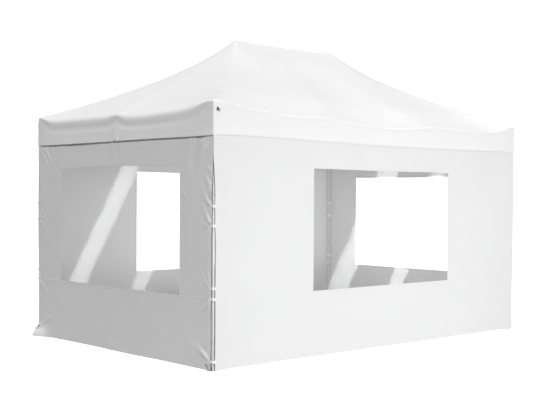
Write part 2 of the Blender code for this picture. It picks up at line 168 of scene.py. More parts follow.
CREASES = (  # start inwards of the wall's end, height, angle above the horizontal, length, depth, width
    (0.010, 1.435, 58, 0.26, 1.00, 0.014), (0.010, 1.440, 30, 0.20, 0.80, 0.012),
    (0.012, 1.430, 84, 0.24, 0.90, 0.013), (0.010, 1.262, 52, 0.24, 1.10, 0.014),
    (0.010, 1.255, 24, 0.16, 0.70, 0.012), (0.010, 1.262, 76, 0.15, 0.80, 0.012),
    (0.010, 1.255, -38, 0.20, 0.70, 0.015), (0.010, 1.600, 40, 0.16, 0.90, 0.014),
    (0.015, 1.560, 62, 0.20, 0.70, 0.013), (0.010, 1.720, 34, 0.14, 0.70, 0.014),
    (0.030, 2.030, -44, 0.40, 0.90, 0.018), (0.055, 2.040, -28, 0.30, 0.90, 0.016),
    (0.120, 2.045, -58, 0.28, 0.80, 0.018), (0.230, 2.040, -64, 0.22, 0.60, 0.018),
    (0.010, 0.724, 40, 0.24, 0.80, 0.016), (0.010, 0.724, 64, 0.18, 0.70, 0.014),
    (0.010, 0.630, -34, 0.26, 0.80, 0.018), (0.010, 0.630, -60, 0.20, 0.60, 0.016),
    (0.010, 0.100, 46, 0.30, 0.90, 0.018), (0.010, 0.090, 22, 0.34, 0.80, 0.018),
    (0.420, 1.600, 225, 0.12, 0.80, 0.014), (0.425, 1.530, 215, 0.10, 0.80, 0.013),
    (0.425, 1.440, 232, 0.10, 0.70, 0.013),
)
LOOSE_CORNERS = {("left", -1): 0.066, ("back", 1): 0.014}  # how far a wall's foot stands out at an end
FILM_GAP = 0.0004

# Seams, straps and fittings
SEAM_STEP, BAND_STEP = 0.03, 0.025  # between two points of a seam's path
HIP_SEAM_BESIDE = 0.012  # from a hip to the stitches beside it
HIP_SEAM_TOP = 2.94
BAND_THICKNESS, POST_THICKNESS = 0.0006, 0.0005  # of the bands along a window and beside it
STITCH_INSET = 0.003  # from a band's edge
STITCH_SINK = 0.3  # share of the thread's thickness at which its middle lies over the cloth
STRAP_LAP, LONG_STRAP_LAP = 0.006, 0.017  # how far a strap reaches along the walls
LONG_LAP_HEIGHT = 0.624
INNER_LEG_PLAY, OUTER_LEG_PLAY = 0.0035, 0.0012  # between a leg and its strap
STRAP_LIFT = 0.0012  # of a strap over the wall
RING_RADIUS = 0.0125
RING_LEAN = 0.45
RING_OUT, RING_DROP = 0.0175, 0.018  # the ring's middle, from the valance and below the tab's top
TAB_WIDTH, TAB_THICKNESS = 0.018, 0.0014
TAB_PATH = (  # out from the valance, above the ring's place
    (0.0006, 0.0080), (0.0010, 0.0010), (0.0085, -0.0040), (0.0150, -0.0085), (0.0125, -0.0140),
    (0.0050, -0.0150), (0.0008, -0.0180), (0.0006, -0.0240),
)
HOOK_PATH = (  # out from the wall, along it, above the ground
    (0.0035, 1.4290, 0.050), (0.0050, 1.4290, 0.058), (0.0055, 1.4340, 0.062), (0.0055, 1.4390, 0.056),
    (0.0055, 1.4450, 0.044), (0.0050, 1.4530, 0.028), (0.0040, 1.4600, 0.014), (0.0020, 1.4640, 0.006),
    (-0.0010, 1.4640, 0.0030),
)
HOOK_LIFT = 0.016
EYELET_PLACE, EYELET_RADIUS, EYELET_WIRE = (0.0195, 1.434, 0.052), 0.008, 0.0016
HOOK_SHIFTS = {"back_left": (0.006, 0.070)}  # out and up, where the wall's foot stands out

# Trusses: heights of the pivots' rows, and the rivets' places
PIVOT_TOP, PIVOT_LOW = 2.238, 1.960
PIVOT_INSET = 0.036  # from a leg's middle
BAR_FACE, CROSSING_FACE = 0.0173, 0.0152  # from a truss's middle to a rivet's seat

# Studio
PICTURE_WIDTH, PICTURE_HEIGHT = 550, 412
LEFT_STREAKS = (  # bottom left, bottom right, top right and top left of a streak, in the picture's pixels
    ((60, 300), (79, 300), (143, 164), (121, 164)), ((122, 308), (138, 308), (157, 264), (140, 264)),
)
RIGHT_STREAKS = (
    ((322, 295), (347, 295), (402, 166), (380, 166)), ((386, 290), (401, 290), (449, 166), (434, 166)),
)
STRIP_DISTANCE = 6.0
STRIP_WIDTH = 0.85  # share of the streak's width, the rest being its soft edge
SHORT_SIDE_STRIPS = 0.6  # share of the strips' brightness on a short side
PANE_DEPTH = 0.002  # of a window behind its wall's plane
FLOOR_HALF = 60.0
FRONT_SOFTBOX_PLACE, FRONT_SOFTBOX_SIZE = (0.0, -8.5, 0.8), (10.0, 1.5)
INSIDE_SOFTBOX_SIZE = (3.6, 2.2)

Side = namedtuple("Side", "name along out plane reach half seed")
SIDES = {
    "front": Side("front", Vector((1, 0, 0)), Vector((0, -1, 0)), -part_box("front_wall")[0].y,
                  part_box("front_wall")[1].x, HALF_LENGTH, 3.1),
    "right": Side("right", Vector((0, 1, 0)), Vector((1, 0, 0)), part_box("right_wall")[1].x,
                  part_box("right_wall")[1].y, HALF_WIDTH, 11.7),
    "back": Side("back", Vector((-1, 0, 0)), Vector((0, 1, 0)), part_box("back_wall")[1].y,
                 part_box("back_wall")[1].x, HALF_LENGTH, 23.9),
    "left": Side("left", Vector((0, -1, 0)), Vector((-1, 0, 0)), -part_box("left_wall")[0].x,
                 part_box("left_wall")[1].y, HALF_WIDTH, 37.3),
}
CORNERS = (("front_left", -1, -1), ("front_right", 1, -1), ("back_left", -1, 1), ("back_right", 1, 1))
# A place on the tent's outline: the eave's edge, the end of its slope on the ridge, outwards, the eave's
# height, the fold's reach, the valance's lower edge, the side and the place along it
Station = namedtuple("Station", "edge anchor out height reach low side position")
UP = Vector((0, 0, 1))


class ClothSettings(PropertyGroup):
    """Sizes and colours of the roof cover and the walls."""

    roof_colour: FloatVectorProperty(
        name="Roof colour", description="Colour of the roof cover and its valance",
        subtype="COLOR", size=3, min=0.0, max=1.0, default=(0.735, 0.736, 0.738),
    )
    wall_colour: FloatVectorProperty(
        name="Wall colour", description="Colour of the side walls",
        subtype="COLOR", size=3, min=0.0, max=1.0, default=(0.69, 0.691, 0.694),
    )
    thickness: FloatProperty(
        name="Thickness", description="Thickness of the cloth", default=0.0012, min=0.0003, unit="LENGTH",
    )
    column_step: FloatProperty(
        name="Column step", description="Distance between the mesh's columns", default=0.026, min=0.01,
        unit="LENGTH",
    )
    pleat_step: FloatProperty(
        name="Pleat's step", description="Distance between the columns at a short valance's pleat",
        default=0.0065, min=0.003, unit="LENGTH",
    )
    long_step: FloatProperty(
        name="Long walls' step", description="Distance between the lines of a long wall's mesh",
        default=0.022, min=0.01, unit="LENGTH",
    )
    short_step: FloatProperty(
        name="Short walls' step", description="Distance between the lines of a short wall's mesh",
        default=0.014, min=0.01, unit="LENGTH",
    )
    corner_radius: FloatProperty(
        name="Corner radius", description="Radius of the valance's upright corners", default=0.012,
        min=0.002, unit="LENGTH",
    )
    long_fold: FloatProperty(
        name="Long side's fold", description="How far the roll of the long eaves reaches", default=0.014,
        min=0.002, unit="LENGTH",
    )
    short_fold: FloatProperty(
        name="Short side's fold", description="How far the roll of the short eaves reaches", default=0.078,
        min=0.002, unit="LENGTH",
    )
    hem: FloatProperty(name="Hem", description="Depth of the hems", default=0.030, min=0.005, unit="LENGTH")
    hem_step: FloatProperty(
        name="Hem step", description="How far a hem stands out", default=0.0006, min=0.0, unit="LENGTH",
    )
    billow: FloatProperty(
        name="Billow", description="Depth of the walls' slow waves", default=0.006, min=0.0, unit="LENGTH",
    )
    crumple: FloatProperty(
        name="Crumple", description="Depth of the walls' fine creases", default=0.0012, min=0.0,
        unit="LENGTH",
    )
    flare: FloatProperty(
        name="Flare", description="How far the walls' lower edges stand out", default=0.007, min=0.0,
        unit="LENGTH",
    )


class WindowSettings(PropertyGroup):
    """Sizes and finish of the clear windows."""

    colour: FloatVectorProperty(
        name="Film colour", description="Colour of the clear film", subtype="COLOR", size=3, min=0.0,
        max=1.0, default=(0.95, 0.95, 0.955),
    )
    opacity: FloatProperty(
        name="Opacity", description="Share of the light that the film stops", default=0.10, min=0.0, max=1.0,
    )
    roughness: FloatProperty(
        name="Roughness", description="Roughness of the film's gloss", default=0.045, min=0.0, max=1.0,
    )
    thickness: FloatProperty(
        name="Film thickness", description="Thickness of the film", default=0.0005, min=0.0002,
        unit="LENGTH",
    )
    margin: FloatProperty(
        name="Margin", description="How far the film reaches behind the cloth", default=0.018, min=0.0,
        unit="LENGTH",
    )
    step: FloatProperty(
        name="Film step", description="Distance between the lines of a film's mesh", default=0.03, min=0.01,
        unit="LENGTH",
    )
    ripple: FloatProperty(
        name="Ripple", description="Depth of the film's waves", default=0.00015, min=0.0, unit="LENGTH",
    )
    frame_width: FloatProperty(
        name="Frame width", description="Width of the band sewn round a window", default=0.020, min=0.005,
        unit="LENGTH",
    )


class TrimSettings(PropertyGroup):
    """Sizes of the seams, stitches, straps and fittings."""

    corner_seam_width: FloatProperty(
        name="Corner seam width", description="Width of the seam down a corner of the valance",
        default=0.007, min=0.003, unit="LENGTH",
    )
    corner_seam_thickness: FloatProperty(
        name="Corner seam thickness", description="Thickness of that seam", default=0.0014, min=0.0005,
        unit="LENGTH",
    )
    stitch_pitch: FloatProperty(
        name="Stitch pitch", description="Distance between stitches", default=0.006, min=0.002,
        unit="LENGTH",
    )
    stitch_length: FloatProperty(
        name="Stitch length", description="Length of a stitch", default=0.0042, min=0.001, unit="LENGTH",
    )
    stitch_thickness: FloatProperty(
        name="Stitch thickness", description="Thickness of the thread", default=0.0008, min=0.0002,
        unit="LENGTH",
    )
    strap_height: FloatProperty(
        name="Strap height", description="Height of a hook-and-loop strap", default=0.025, min=0.01,
        unit="LENGTH",
    )
    strap_thickness: FloatProperty(
        name="Strap thickness", description="Thickness of a strap", default=0.0015, min=0.0005,
        unit="LENGTH",
    )
    rivet_radius: FloatProperty(
        name="Rivet radius", description="Radius of a rivet's head", default=0.0065, min=0.001,
        unit="LENGTH",
    )
    rivet_height: FloatProperty(
        name="Rivet height", description="Height of a rivet's head", default=0.003, min=0.0005,
        unit="LENGTH",
    )
    wire_radius: FloatProperty(
        name="Wire radius", description="Radius of the hooks' and rings' wire", default=0.0024, min=0.0005,
        unit="LENGTH",
    )


class StageSettings(PropertyGroup):
    """The camera and the studio's light."""

    camera_place: FloatVectorProperty(
        name="Camera place", description="Where the camera stands", subtype="TRANSLATION", size=3,
        unit="LENGTH", default=(-7.7916, -8.3168, 1.5224),
    )
    camera_yaw: FloatProperty(
        name="Camera yaw", description="Direction of the view, from +X towards +Y", unit="ROTATION",
        default=radians(47.403),
    )
    camera_pitch: FloatProperty(
        name="Camera pitch", description="Tilt of the view above the horizon", unit="ROTATION",
        default=radians(-0.537),
    )
    camera_roll: FloatProperty(
        name="Camera roll", description="Turn of the camera about its view", unit="ROTATION",
        default=radians(0.366),
    )
    focal_pixels: FloatProperty(
        name="Focal length", description="Focal length in pixels of a picture 550 wide", default=1015.7,
    )
    sun: FloatProperty(name="Overhead light", description="Light from straight above", default=0.35, min=0.0)
    side_sun: FloatProperty(
        name="Side light", description="Light from high on the left, which the floor is spared",
        default=0.57, min=0.0,
    )
    front_sun: FloatProperty(
        name="High front light", description="Light from high in front, which the floor is spared",
        default=0.19, min=0.0,
    )
    side_tilt: FloatProperty(
        name="Side light's tilt", description="Angle of the side light from the vertical", unit="ROTATION",
        default=radians(46.0),
    )
    front_tilt: FloatProperty(
        name="High front light's tilt", description="Angle of the high front light from the vertical",
        unit="ROTATION", default=radians(50.0),
    )
    sky: FloatProperty(name="Sky", description="Light from all round", default=0.25, min=0.0)
    backdrop: FloatProperty(
        name="Backdrop", description="Brightness of the backdrop and the floor to the camera", default=1.6,
        min=0.0,
    )
    floor_shade: FloatProperty(
        name="Floor's shade", description="Share of the light that the floor sends back", default=0.34,
        min=0.0, max=1.0,
    )
    front_light: FloatProperty(
        name="Front light", description="Brightness of the low softbox before the long side", default=11.6,
        min=0.0,
    )
    inside_light: FloatProperty(
        name="Inside light", description="Brightness of the two softboxes in the tent", default=0.70,
        min=0.0,
    )
    strip_light: FloatProperty(
        name="Strip light", description="Brightness of the strips that the windows mirror", default=30.0,
        min=0.0,
    )


def clamp(value, low=0.0, high=1.0):
    """value held between low and high."""
    return max(low, min(high, value))


def smooth(value):
    """A soft step from 0 to 1."""
    value = clamp(value)
    return value * value * (3.0 - 2.0 * value)


def hump(distance, width):
    """A bell of height 1."""
    return exp(-((distance / width) ** 2))


def curve_through(points, x):
    """Height at x of the smooth curve through points, which stand in order of x."""
    last = len(points) - 1
    start = next((k for k in range(last) if x <= points[k + 1][0]), last - 1)

    def slope(k):
        before, after = points[max(k - 1, 0)], points[min(k + 1, last)]
        return (after[1] - before[1]) / (after[0] - before[0])

    (x0, y0), (x1, y1) = points[start], points[start + 1]
    step = x1 - x0
    t = clamp((x - x0) / step)
    rise = 3.0 * t * t - 2.0 * t**3
    lean = t * (1.0 - t) * ((1.0 - t) * slope(start) - t * slope(start + 1)) * step
    return y0 + (y1 - y0) * rise + lean


def wobble(a, b, seed):
    """Slow noise from -1 to 1."""
    return noise.noise(Vector((a, b, seed)))


def crease(a, b, seed):
    """Thin ridges from 0 to 1."""
    return (1.0 - min(1.0, abs(2.4 * noise.noise(Vector((a, b, seed)))))) ** 3


def spread(stops, step):
    """Positions that take in every stop, evenly spaced between two stops by about one step."""
    positions = [stops[0]]
    for low, high in zip(stops, stops[1:]):
        count = max(1, round((high - low) / step))
        positions += [low + (high - low) * (k + 1) / count for k in range(count)]
    return positions


def straight_half(side, radius):
    """Half the straight stretch of an eave between its rounded corners."""
    return side.half - radius


def station(run, cloth):
    """The place on the tent's outline at the distance run from the front side's left end."""
    radius = cloth.corner_radius
    order = [SIDES[name] for name in ("front", "right", "back", "left")]
    arc = pi * radius / 2
    total = sum(2 * straight_half(side, radius) + arc for side in order)
    run %= total
    for number, side in enumerate(order):
        half = straight_half(side, radius)
        depth = order[(number + 1) % 4].half
        long_side = number % 2 == 0
        if run <= 2 * half:
            position = run - half
            edge = side.out * depth + side.along * position
            if long_side:
                anchor = side.along * (RIDGE_HALF * position / half)
                height = curve_through(LONG_EAVE, position)
                low = curve_through(LONG_VALANCE_LOW, position)
                reach = cloth.long_fold * (1.0 - 0.3 * hump(abs(position) - TRUSS_JOINT, 0.12))
            else:
                anchor = side.out * RIDGE_HALF
                height = curve_through(SHORT_EAVE, position)
                low = VALANCE_LOW + 0.003 * wobble(position * 1.7, 0.0, side.seed)
                low += NOTCH_HEIGHT * hump(position, NOTCH_WIDTH)
                reach = cloth.short_fold * (1.0 - 0.45 * hump(position, 0.10))
            reach = CORNER_FOLD + (reach - CORNER_FOLD) * smooth((half - abs(position) - 0.05) / 0.25)
            return Station(edge, anchor, side.out, height, reach, low, side, position)
        run -= 2 * half
        if run <= arc:
            turn = run / radius
            out = side.out * cos(turn) + side.along * sin(turn)
            edge = side.out * (depth - radius) + side.along * half + out * radius
            anchor = Vector((RIDGE_HALF if edge.x > 0 else -RIDGE_HALF, 0, 0))
            height, low = LONG_EAVE[-1][1], VALANCE_LOW + CORNER_LOW
            return Station(edge, anchor, out, height, CORNER_FOLD, low, side, half)
        run -= arc
    raise ValueError("the outline has no such place")


def outline_stops(cloth):
    """Where the outline's straight stretches and corners begin, and last its whole length."""
    radius = cloth.corner_radius
    stops = [0.0]
    for name in ("front", "right", "back", "left"):
        stops.append(stops[-1] + 2 * straight_half(SIDES[name], radius))
        stops.append(stops[-1] + pi * radius / 2)
    return stops


def ways_down(x, y):
    """How far (x, y) is on the way from the ridge to a short eave and to a long one, from 0 to 1."""
    return max(abs(x) - RIDGE_HALF, 0.0) / (HALF_LENGTH - RIDGE_HALF), abs(y) / HALF_WIDTH


def roof_height(x, y, drop):
    """Height of the roof cover over (x, y), on the way to an eave that sags by drop."""
    along, across = ways_down(x, y)
    soft = HIP_SOFTNESS * smooth((1.0 - max(along, across)) / 0.3) * smooth(max(along, across) / 0.2)
    down = (along + across + sqrt((along - across) ** 2 + soft * soft) - soft) / 2
    down = min(1.0, sqrt(down * down + RIDGE_ROUNDING**2) - RIDGE_ROUNDING)
    up = 1.0 - down
    rise = (PEAK_Z - CORNER_Z) * sum(share * up**power for share, power in HIP_SHAPE)
    ridge = RIDGE_SAG * up**3 * (1.0 - min(1.0, abs(x) / RIDGE_HALF) ** 4)
    return CORNER_Z + rise - ridge - drop * down**SAG_SPREAD


def roof_ripple(x, y):
    """Small waves of the roof cover: slow ones on the slopes and folds that run from the corners."""
    along, across = ways_down(x, y)
    to_eave = 1.0 - max(along, across)
    off_hips = smooth(abs(along - across) / 0.15) * smooth(to_eave / 0.06)
    slow = ROOF_WAVE_DEPTH * wobble(x * ROOF_WAVES, y * ROOF_WAVES, 5.0)
    slow += ROOF_CREASE_DEPTH * crease(x * ROOF_CREASES, y * ROOF_CREASES, 8.0)
    far_x, far_y = HALF_LENGTH - abs(x), HALF_WIDTH - abs(y)
    distance = hypot(far_x, far_y)
    fan = FAN_DEPTH * cos(FAN_FOLDS * atan2(far_y, far_x)) * exp(-distance / FAN_REACH)
    fan *= smooth(distance / 0.12)
    return slow * off_hips + fan * smooth(to_eave / 0.04)


def valance_wave(place, fall):
    """How far the valance stands out, with fall from 0 at the fold to 1 at its lower edge."""
    position, seed = place.position, place.side.seed
    short = place.side.half == HALF_WIDTH
    wave = VALANCE_WAVE_DEPTH * wobble(position * 1.5, fall * 0.6, seed)
    wave += VALANCE_RIPPLE_DEPTH * wobble(position * 7.0, fall, seed + 4.0)
    wave += VALANCE_BULGE[place.side.name]
    if short:
        pleat = PLEAT_DEPTH * smooth((PLEAT_HALF - abs(position - PLEAT_MIDDLE)) / PLEAT_EDGE)
        pleat -= SLIT_DEPTH * fall**4 * hump(position, SLIT_WIDTH)
        wave += pleat * (0.5 + 0.5 * fall)
    tuck = LONG_TUCK
    if short and place.side.name != "right":
        tuck = SHORT_TUCK - SHORT_TUCK_EASE * smooth(position / HALF_WIDTH)
        tuck += JOINT_TUCK * hump(abs(position) - JOINT_TUCK_PLACE, JOINT_TUCK_WIDTH)
    tuck *= hump(fall - TUCK_FALL, TUCK_FALL)
    ends = smooth((place.side.half - abs(position)) / VALANCE_END)
    return (max(0.0, wave) * fall - tuck) * (0.15 + 0.85 * ends)


def canopy_point(run, rise, cloth):
    """The roof cover's outer face. rise is 1 at the valance's top, 2 above the fold and 3 on the ridge."""
    place = station(run, cloth)
    drop = CORNER_Z - place.height
    length = (place.edge - place.anchor).length
    if rise >= 2.0:
        share = (3.0 - rise) * (1.0 - place.reach / length)
        flat = place.anchor + (place.edge - place.anchor) * share
        return Vector((flat.x, flat.y, roof_height(flat.x, flat.y, drop) + roof_ripple(flat.x, flat.y)))
    corner = place.edge + UP * place.height
    below = corner - UP * place.reach
    if rise >= 1.0:
        slope_end = canopy_point(run, 2.0, cloth)
        t = 2.0 - rise
        ends = smooth((place.side.half - abs(place.position)) / VALANCE_END)
        bulge = SHORT_FOLD_BULGE if place.side.half == HALF_WIDTH else LONG_FOLD_BULGE
        bulge = place.out * (bulge * ends * (4.0 * t * (1.0 - t)) ** 2)
        return slope_end * (1.0 - t) ** 2 + corner * (2.0 * t * (1.0 - t)) + below * t * t + bulge
    fall = 1.0 - rise
    point = below + UP * ((place.low - below.z) * fall) + place.out * valance_wave(place, fall)
    if point.z < place.low + cloth.hem:
        point += place.out * cloth.hem_step
    return point


def window_clearance(a, z):
    """0 on a window and the cloth at its edge, 1 well away from it."""
    beside = abs(a) - WINDOW_HALF - CALM_BESIDE
    above = max(WINDOW_LOW - CALM_BELOW - z, z - WINDOW_HIGH - CALM_ABOVE)
    return smooth(max(beside, above) / CALM_FADE)


def pulled_creases(side, a, z):
    """Creases that the straps, the leg and the valance pull into the ends of a wall."""
    inwards = side.reach - abs(a)
    if inwards > CREASE_REACH:
        return 0.0
    end = 1.0 if a > 0 else -1.0
    height = 0.0
    for number, (start, level, angle, length, depth, width) in enumerate(CREASES):
        turn = radians(angle + CREASE_TURN * sin(7.3 * number + side.seed * end))
        du, dz = inwards - start, z - level - CREASE_SHIFT * sin(3.1 * number + side.seed * end)
        run = (du * cos(turn) + dz * sin(turn)) / length
        if not 0.0 < run < 1.0:
            continue
        beside = (dz * cos(turn) - du * sin(turn)) / width
        if abs(beside) > 4.0:
            continue
        profile = exp(-beside * beside) - 0.5 * exp(-((beside - 1.5) ** 2))
        height += depth * profile * smooth(run / 0.2) * (1.0 - run)
    return height


def slow_waves(side, a, z, cloth):
    """Billows of the cloth and the creases that are left from its folding."""
    height = cloth.billow * wobble(a * 1.1, z * 1.1, side.seed)
    height += cloth.crumple * (crease(a * 3.1, z * 2.3, side.seed + 2.0) - 0.15)
    return height + 0.5 * cloth.crumple * (crease(a * 8.0, z * 5.0, side.seed + 6.0) - 0.15)


def hanging_folds(side, a, z):
    """Folds that run down from a wall's top edge."""
    strength = 0.6 + 0.4 * wobble(a * 1.1, 0.0, side.seed + 12.0)
    finger = wobble(a * 7.5, z * 0.8, side.seed + 9.0) * strength
    return HANGING_FOLD * finger * smooth((z - 1.72) / 0.30) * smooth((side.reach - abs(a)) / 0.05)


def leaning_folds(a, z):
    """Folds that lean away from the top of a short wall's right end."""
    middle = FOLD_LEAN * (LEANING_FROM - z)
    folds = sum(depth * hump(a - place + middle, width) for place, depth, width in LEANING_FOLDS)
    return folds * smooth((z - 1.62) / 0.25)


def head_folds(a, z):
    """Folds over the middle of a short wall's window."""
    folds = sum(depth * hump(a - place, width) for place, depth, width in HEAD_FOLDS)
    return folds * smooth((z - WINDOW_HIGH - 0.06) / 0.1)


def foot_flare(side, a, z, ends, cloth):
    """How far a wall's foot stands out, most of all at a loose corner."""
    depth = max(0.0, FLARE_HEIGHT - z) / FLARE_HEIGHT
    swell = 0.85 + 0.3 * wobble(a * 1.4, 0.0, side.seed + 15.0)
    height = cloth.flare * depth**1.2 * swell * (0.25 + 0.75 * ends)
    for end in (-1, 1):
        loose = LOOSE_CORNERS.get((side.name, end), 0.0)
        height += loose * smooth((LOOSE_HEIGHT - z) / LOOSE_HEIGHT) * hump(a - end * side.reach, 0.16)
    return height


def wall_offset(side, a, z, cloth):
    """How far a wall's outer face stands out from its plane."""
    short = side.half == HALF_WIDTH
    clear = window_clearance(a, z)
    past_end = abs(a) - side.reach
    ends = smooth(-past_end / 0.10)
    offset = slow_waves(side, a, z, cloth) * clear * ends + hanging_folds(side, a, z) * clear
    if short:
        offset += leaning_folds(a, z) * clear + head_folds(a, z)
    strength = CREASE_DEPTH if short else LONG_CREASES * CREASE_DEPTH
    offset += strength * pulled_creases(side, a, z) * smooth((abs(a) - WINDOW_HALF - 0.02) / 0.03)
    offset += foot_flare(side, a, z, ends, cloth)
    if z < WALL_LOW + cloth.hem or -past_end < cloth.hem:
        offset += cloth.hem_step
    if short:
        offset -= END_TUCK * smooth((past_end + 0.022) / 0.020) * smooth((CLOSED_FROM - z) / 0.15)
    between_legs = 1.0 - smooth((past_end + 0.16) / 0.08)
    inward = FRAME_ROOM * between_legs * (1.0 - smooth((z - ROOM_HIGH) / 0.08)) + LEG_ROOM
    offset = max(offset, -inward)
    return min(offset, VALANCE_ROOM) if z > VALANCE_LOW - 0.03 else offset


def wall_end(side, end, z):
    """How much farther than the frame's wall a wall reaches at one of its ends."""
    short = side.half == HALF_WIDTH
    to_corner = side.half - side.reach - (SHORT_END_GAP if short else LONG_END_GAP)
    if (side.name, end) not in OPEN_ENDS:
        loose = 0.5 * LOOSE_CORNERS.get((side.name, end), 0.0)
        if short:
            to_corner -= CLOSED_END_GAP * smooth((CLOSED_FROM - z) / 0.10)
        return to_corner * (0.2 + 0.8 * smooth((z - 0.2) / 1.0)) + loose * smooth((0.13 - z) / 0.13)
    meet = smooth((z - CLOSED_FROM + 0.38) / 0.38)
    nearest = min(abs(z - height) for height in STRAP_HEIGHTS)
    scallop = SCALLOP_DEPTH * smooth(nearest / 0.10) * (1.0 + 0.8 * wobble(z * 6.0, end, side.seed))
    opening = OPENING * smooth((1.5 - z) / 0.5)
    return to_corner * meet - opening - scallop * smooth((CLOSED_FROM - z) / 0.10)


def wall_point(side, a, z, cloth):
    """A wall's outer face at a along it and the height z."""
    end = 1 if a > 0 else -1
    stretch = smooth((abs(a) - side.reach + 0.12) / 0.12)
    along = a + end * wall_end(side, end, z) * stretch
    bow = WINDOW_BOW.get(side.name, WINDOW_SAG) * max(0.0, 1.0 - (a / WINDOW_HALF) ** 2) ** 1.2
    height = z + bow * hump(max(0.0, z - WINDOW_HIGH), 0.12) * smooth((z - WINDOW_HIGH + 0.45) / 0.45)
    lower = HEM_RISE * (1.0 + wobble(a * 1.9, 0.0, side.seed + 20.0))
    height += lower * smooth((0.25 - z) / 0.25) * smooth((side.reach - abs(a)) / 0.3)
    slip, lift = SLACK.get(side.name, (0.0, 0.0))
    along += slip * smooth((side.reach - abs(a)) / 0.9)
    height += lift * smooth(z / 0.5) * smooth((WALL_HIGH - z) / 0.35)
    offset = wall_offset(side, a, z, cloth)
    return side.along * along + side.out * (side.plane + offset) + UP * height


def film_point(side, a, z, cloth, window):
    """A window film's outer face, behind the cloth at its margin."""
    inner_a = clamp(a, -WINDOW_HALF, WINDOW_HALF)
    inner_z = clamp(z, WINDOW_LOW, WINDOW_HIGH)
    point = wall_point(side, inner_a, inner_z, cloth)
    point += side.along * (a - inner_a) + UP * (z - inner_z)
    border = min(WINDOW_HALF - abs(a), z - WINDOW_LOW, WINDOW_HIGH - z)
    depth = window.ripple * smooth(border / 0.2)
    swell = wobble(a * 1.6 + 2.0 * z, z * 1.1, side.seed + 30.0)
    swell += 0.4 * wobble(a * 4.0, z * 3.0, side.seed + 33.0)
    return point + side.out * (depth * swell - cloth.thickness - FILM_GAP)


def link(obj):
    """Put a new object in the scene."""
    bpy.context.scene.collection.objects.link(obj)
    return obj


def mesh_object(name, points, faces, uvs, material):
    """A smooth mesh object at the origin, with one pair of metre UVs for each point."""
    mesh = bpy.data.meshes.new(name)
    mesh.from_pydata([tuple(point) for point in points], [], faces)
    layer = mesh.uv_layers.new(name="Cloth")
    corners = [0] * len(mesh.loops)
    mesh.loops.foreach_get("vertex_index", corners)
    layer.data.foreach_set("uv", [value for corner in corners for value in uvs[corner]])
    mesh.polygons.foreach_set("use_smooth", [True] * len(mesh.polygons))
    mesh.materials.append(material)
    return link(bpy.data.objects.new(name, mesh))


def thicken(obj, thickness):
    """Give a sheet its thickness, inwards from its outer face, with crisp rims."""
    modifier = obj.modifiers.new("Thickness", "SOLIDIFY")
    modifier.thickness = thickness
    modifier.offset = -1.0
    evaluated = obj.evaluated_get(bpy.context.evaluated_depsgraph_get())
    solid = bpy.data.meshes.new_from_object(evaluated)
    obj.modifiers.clear()
    sheet = obj.data
    obj.data = solid
    bpy.data.meshes.remove(sheet)
    solid.name = obj.name
    solid.set_sharp_from_angle(angle=radians(55))


def cloth_grid(name, surface, columns, rows, uv, material, closed=False, hole=None):
    """A sheet through surface(column, row), with rows from the bottom up, seen from outside."""
    points, uvs, faces = [], [], []
    for column in columns:
        for row in rows:
            points.append(surface(column, row))
            uvs.append(uv(column, row, points[-1]))
    tall = len(rows)
    count = len(columns)
    for c in range(count if closed else count - 1):
        after = (c + 1) % count
        for r in range(tall - 1):
            if hole and hole((columns[c] + columns[after]) / 2, (rows[r] + rows[r + 1]) / 2):
                continue
            faces.append((c * tall + r, after * tall + r, after * tall + r + 1, c * tall + r + 1))
    return mesh_object(name, points, faces, uvs, material)


class Pile:
    """Bands and wires that are gathered into one mesh."""

    def __init__(self):
        self.points, self.faces, self.uvs = [], [], []

    def tube(self, rings, lengths, closed=False):
        """Join rings of points, each given in turn about the path, into a closed tube."""
        first, size = len(self.points), len(rings[0])
        for ring, length in zip(rings, lengths):
            self.points += ring
            self.uvs += [(length, k / size) for k in range(size)]
        count = len(rings)
        for k in range(count if closed else count - 1):
            here, there = first + k * size, first + (k + 1) % count * size
            for n in range(size):
                m = (n + 1) % size
                self.faces.append((here + n, here + m, there + m, there + n))
        if not closed:
            self.faces.append(tuple(first + n for n in reversed(range(size))))
            self.faces.append(tuple(first + (count - 1) * size + n for n in range(size)))

    def band(self, points, sides, normals, width, thickness, closed=False):
        """A flat band with bevelled edges that lies on a surface."""
        profile = ((-0.5, -0.15), (0.5, -0.15), (0.5, 0.6), (0.44, 1.0), (-0.44, 1.0), (-0.5, 0.6))
        rings, lengths, run = [], [], 0.0
        for k, point in enumerate(points):
            if k:
                run += (point - points[k - 1]).length
            side, normal = sides[k] * width, normals[k] * thickness
            rings.append([point + side * across + normal * up for across, up in profile])
            lengths.append(run)
        self.tube(rings, lengths, closed)

    def wire(self, points, radius, sides=8, closed=False):
        """A round wire through points."""
        rings, lengths, run = [], [], 0.0
        count = len(points)
        normal = None
        for k, point in enumerate(points):
            before = points[k - 1] if closed or k else point
            after = points[(k + 1) % count] if closed or k < count - 1 else point
            tangent = (after - before).normalized()
            if normal is None:
                normal = tangent.orthogonal().normalized()
            normal = (normal - tangent * normal.dot(tangent)).normalized()
            side = tangent.cross(normal)
            angles = [2 * pi * n / sides for n in range(sides)]
            rings.append([point + (normal * cos(t) + side * sin(t)) * radius for t in angles])
            if k:
                run += (point - points[k - 1]).length
            lengths.append(run)
        self.tube(rings, lengths, closed)

    def finish(self, name, material):
        """The gathered mesh as one object."""
        obj = mesh_object(name, self.points, self.faces, self.uvs, material)
        mesh = obj.data
        mesh.set_sharp_from_angle(angle=radians(40))
        return obj


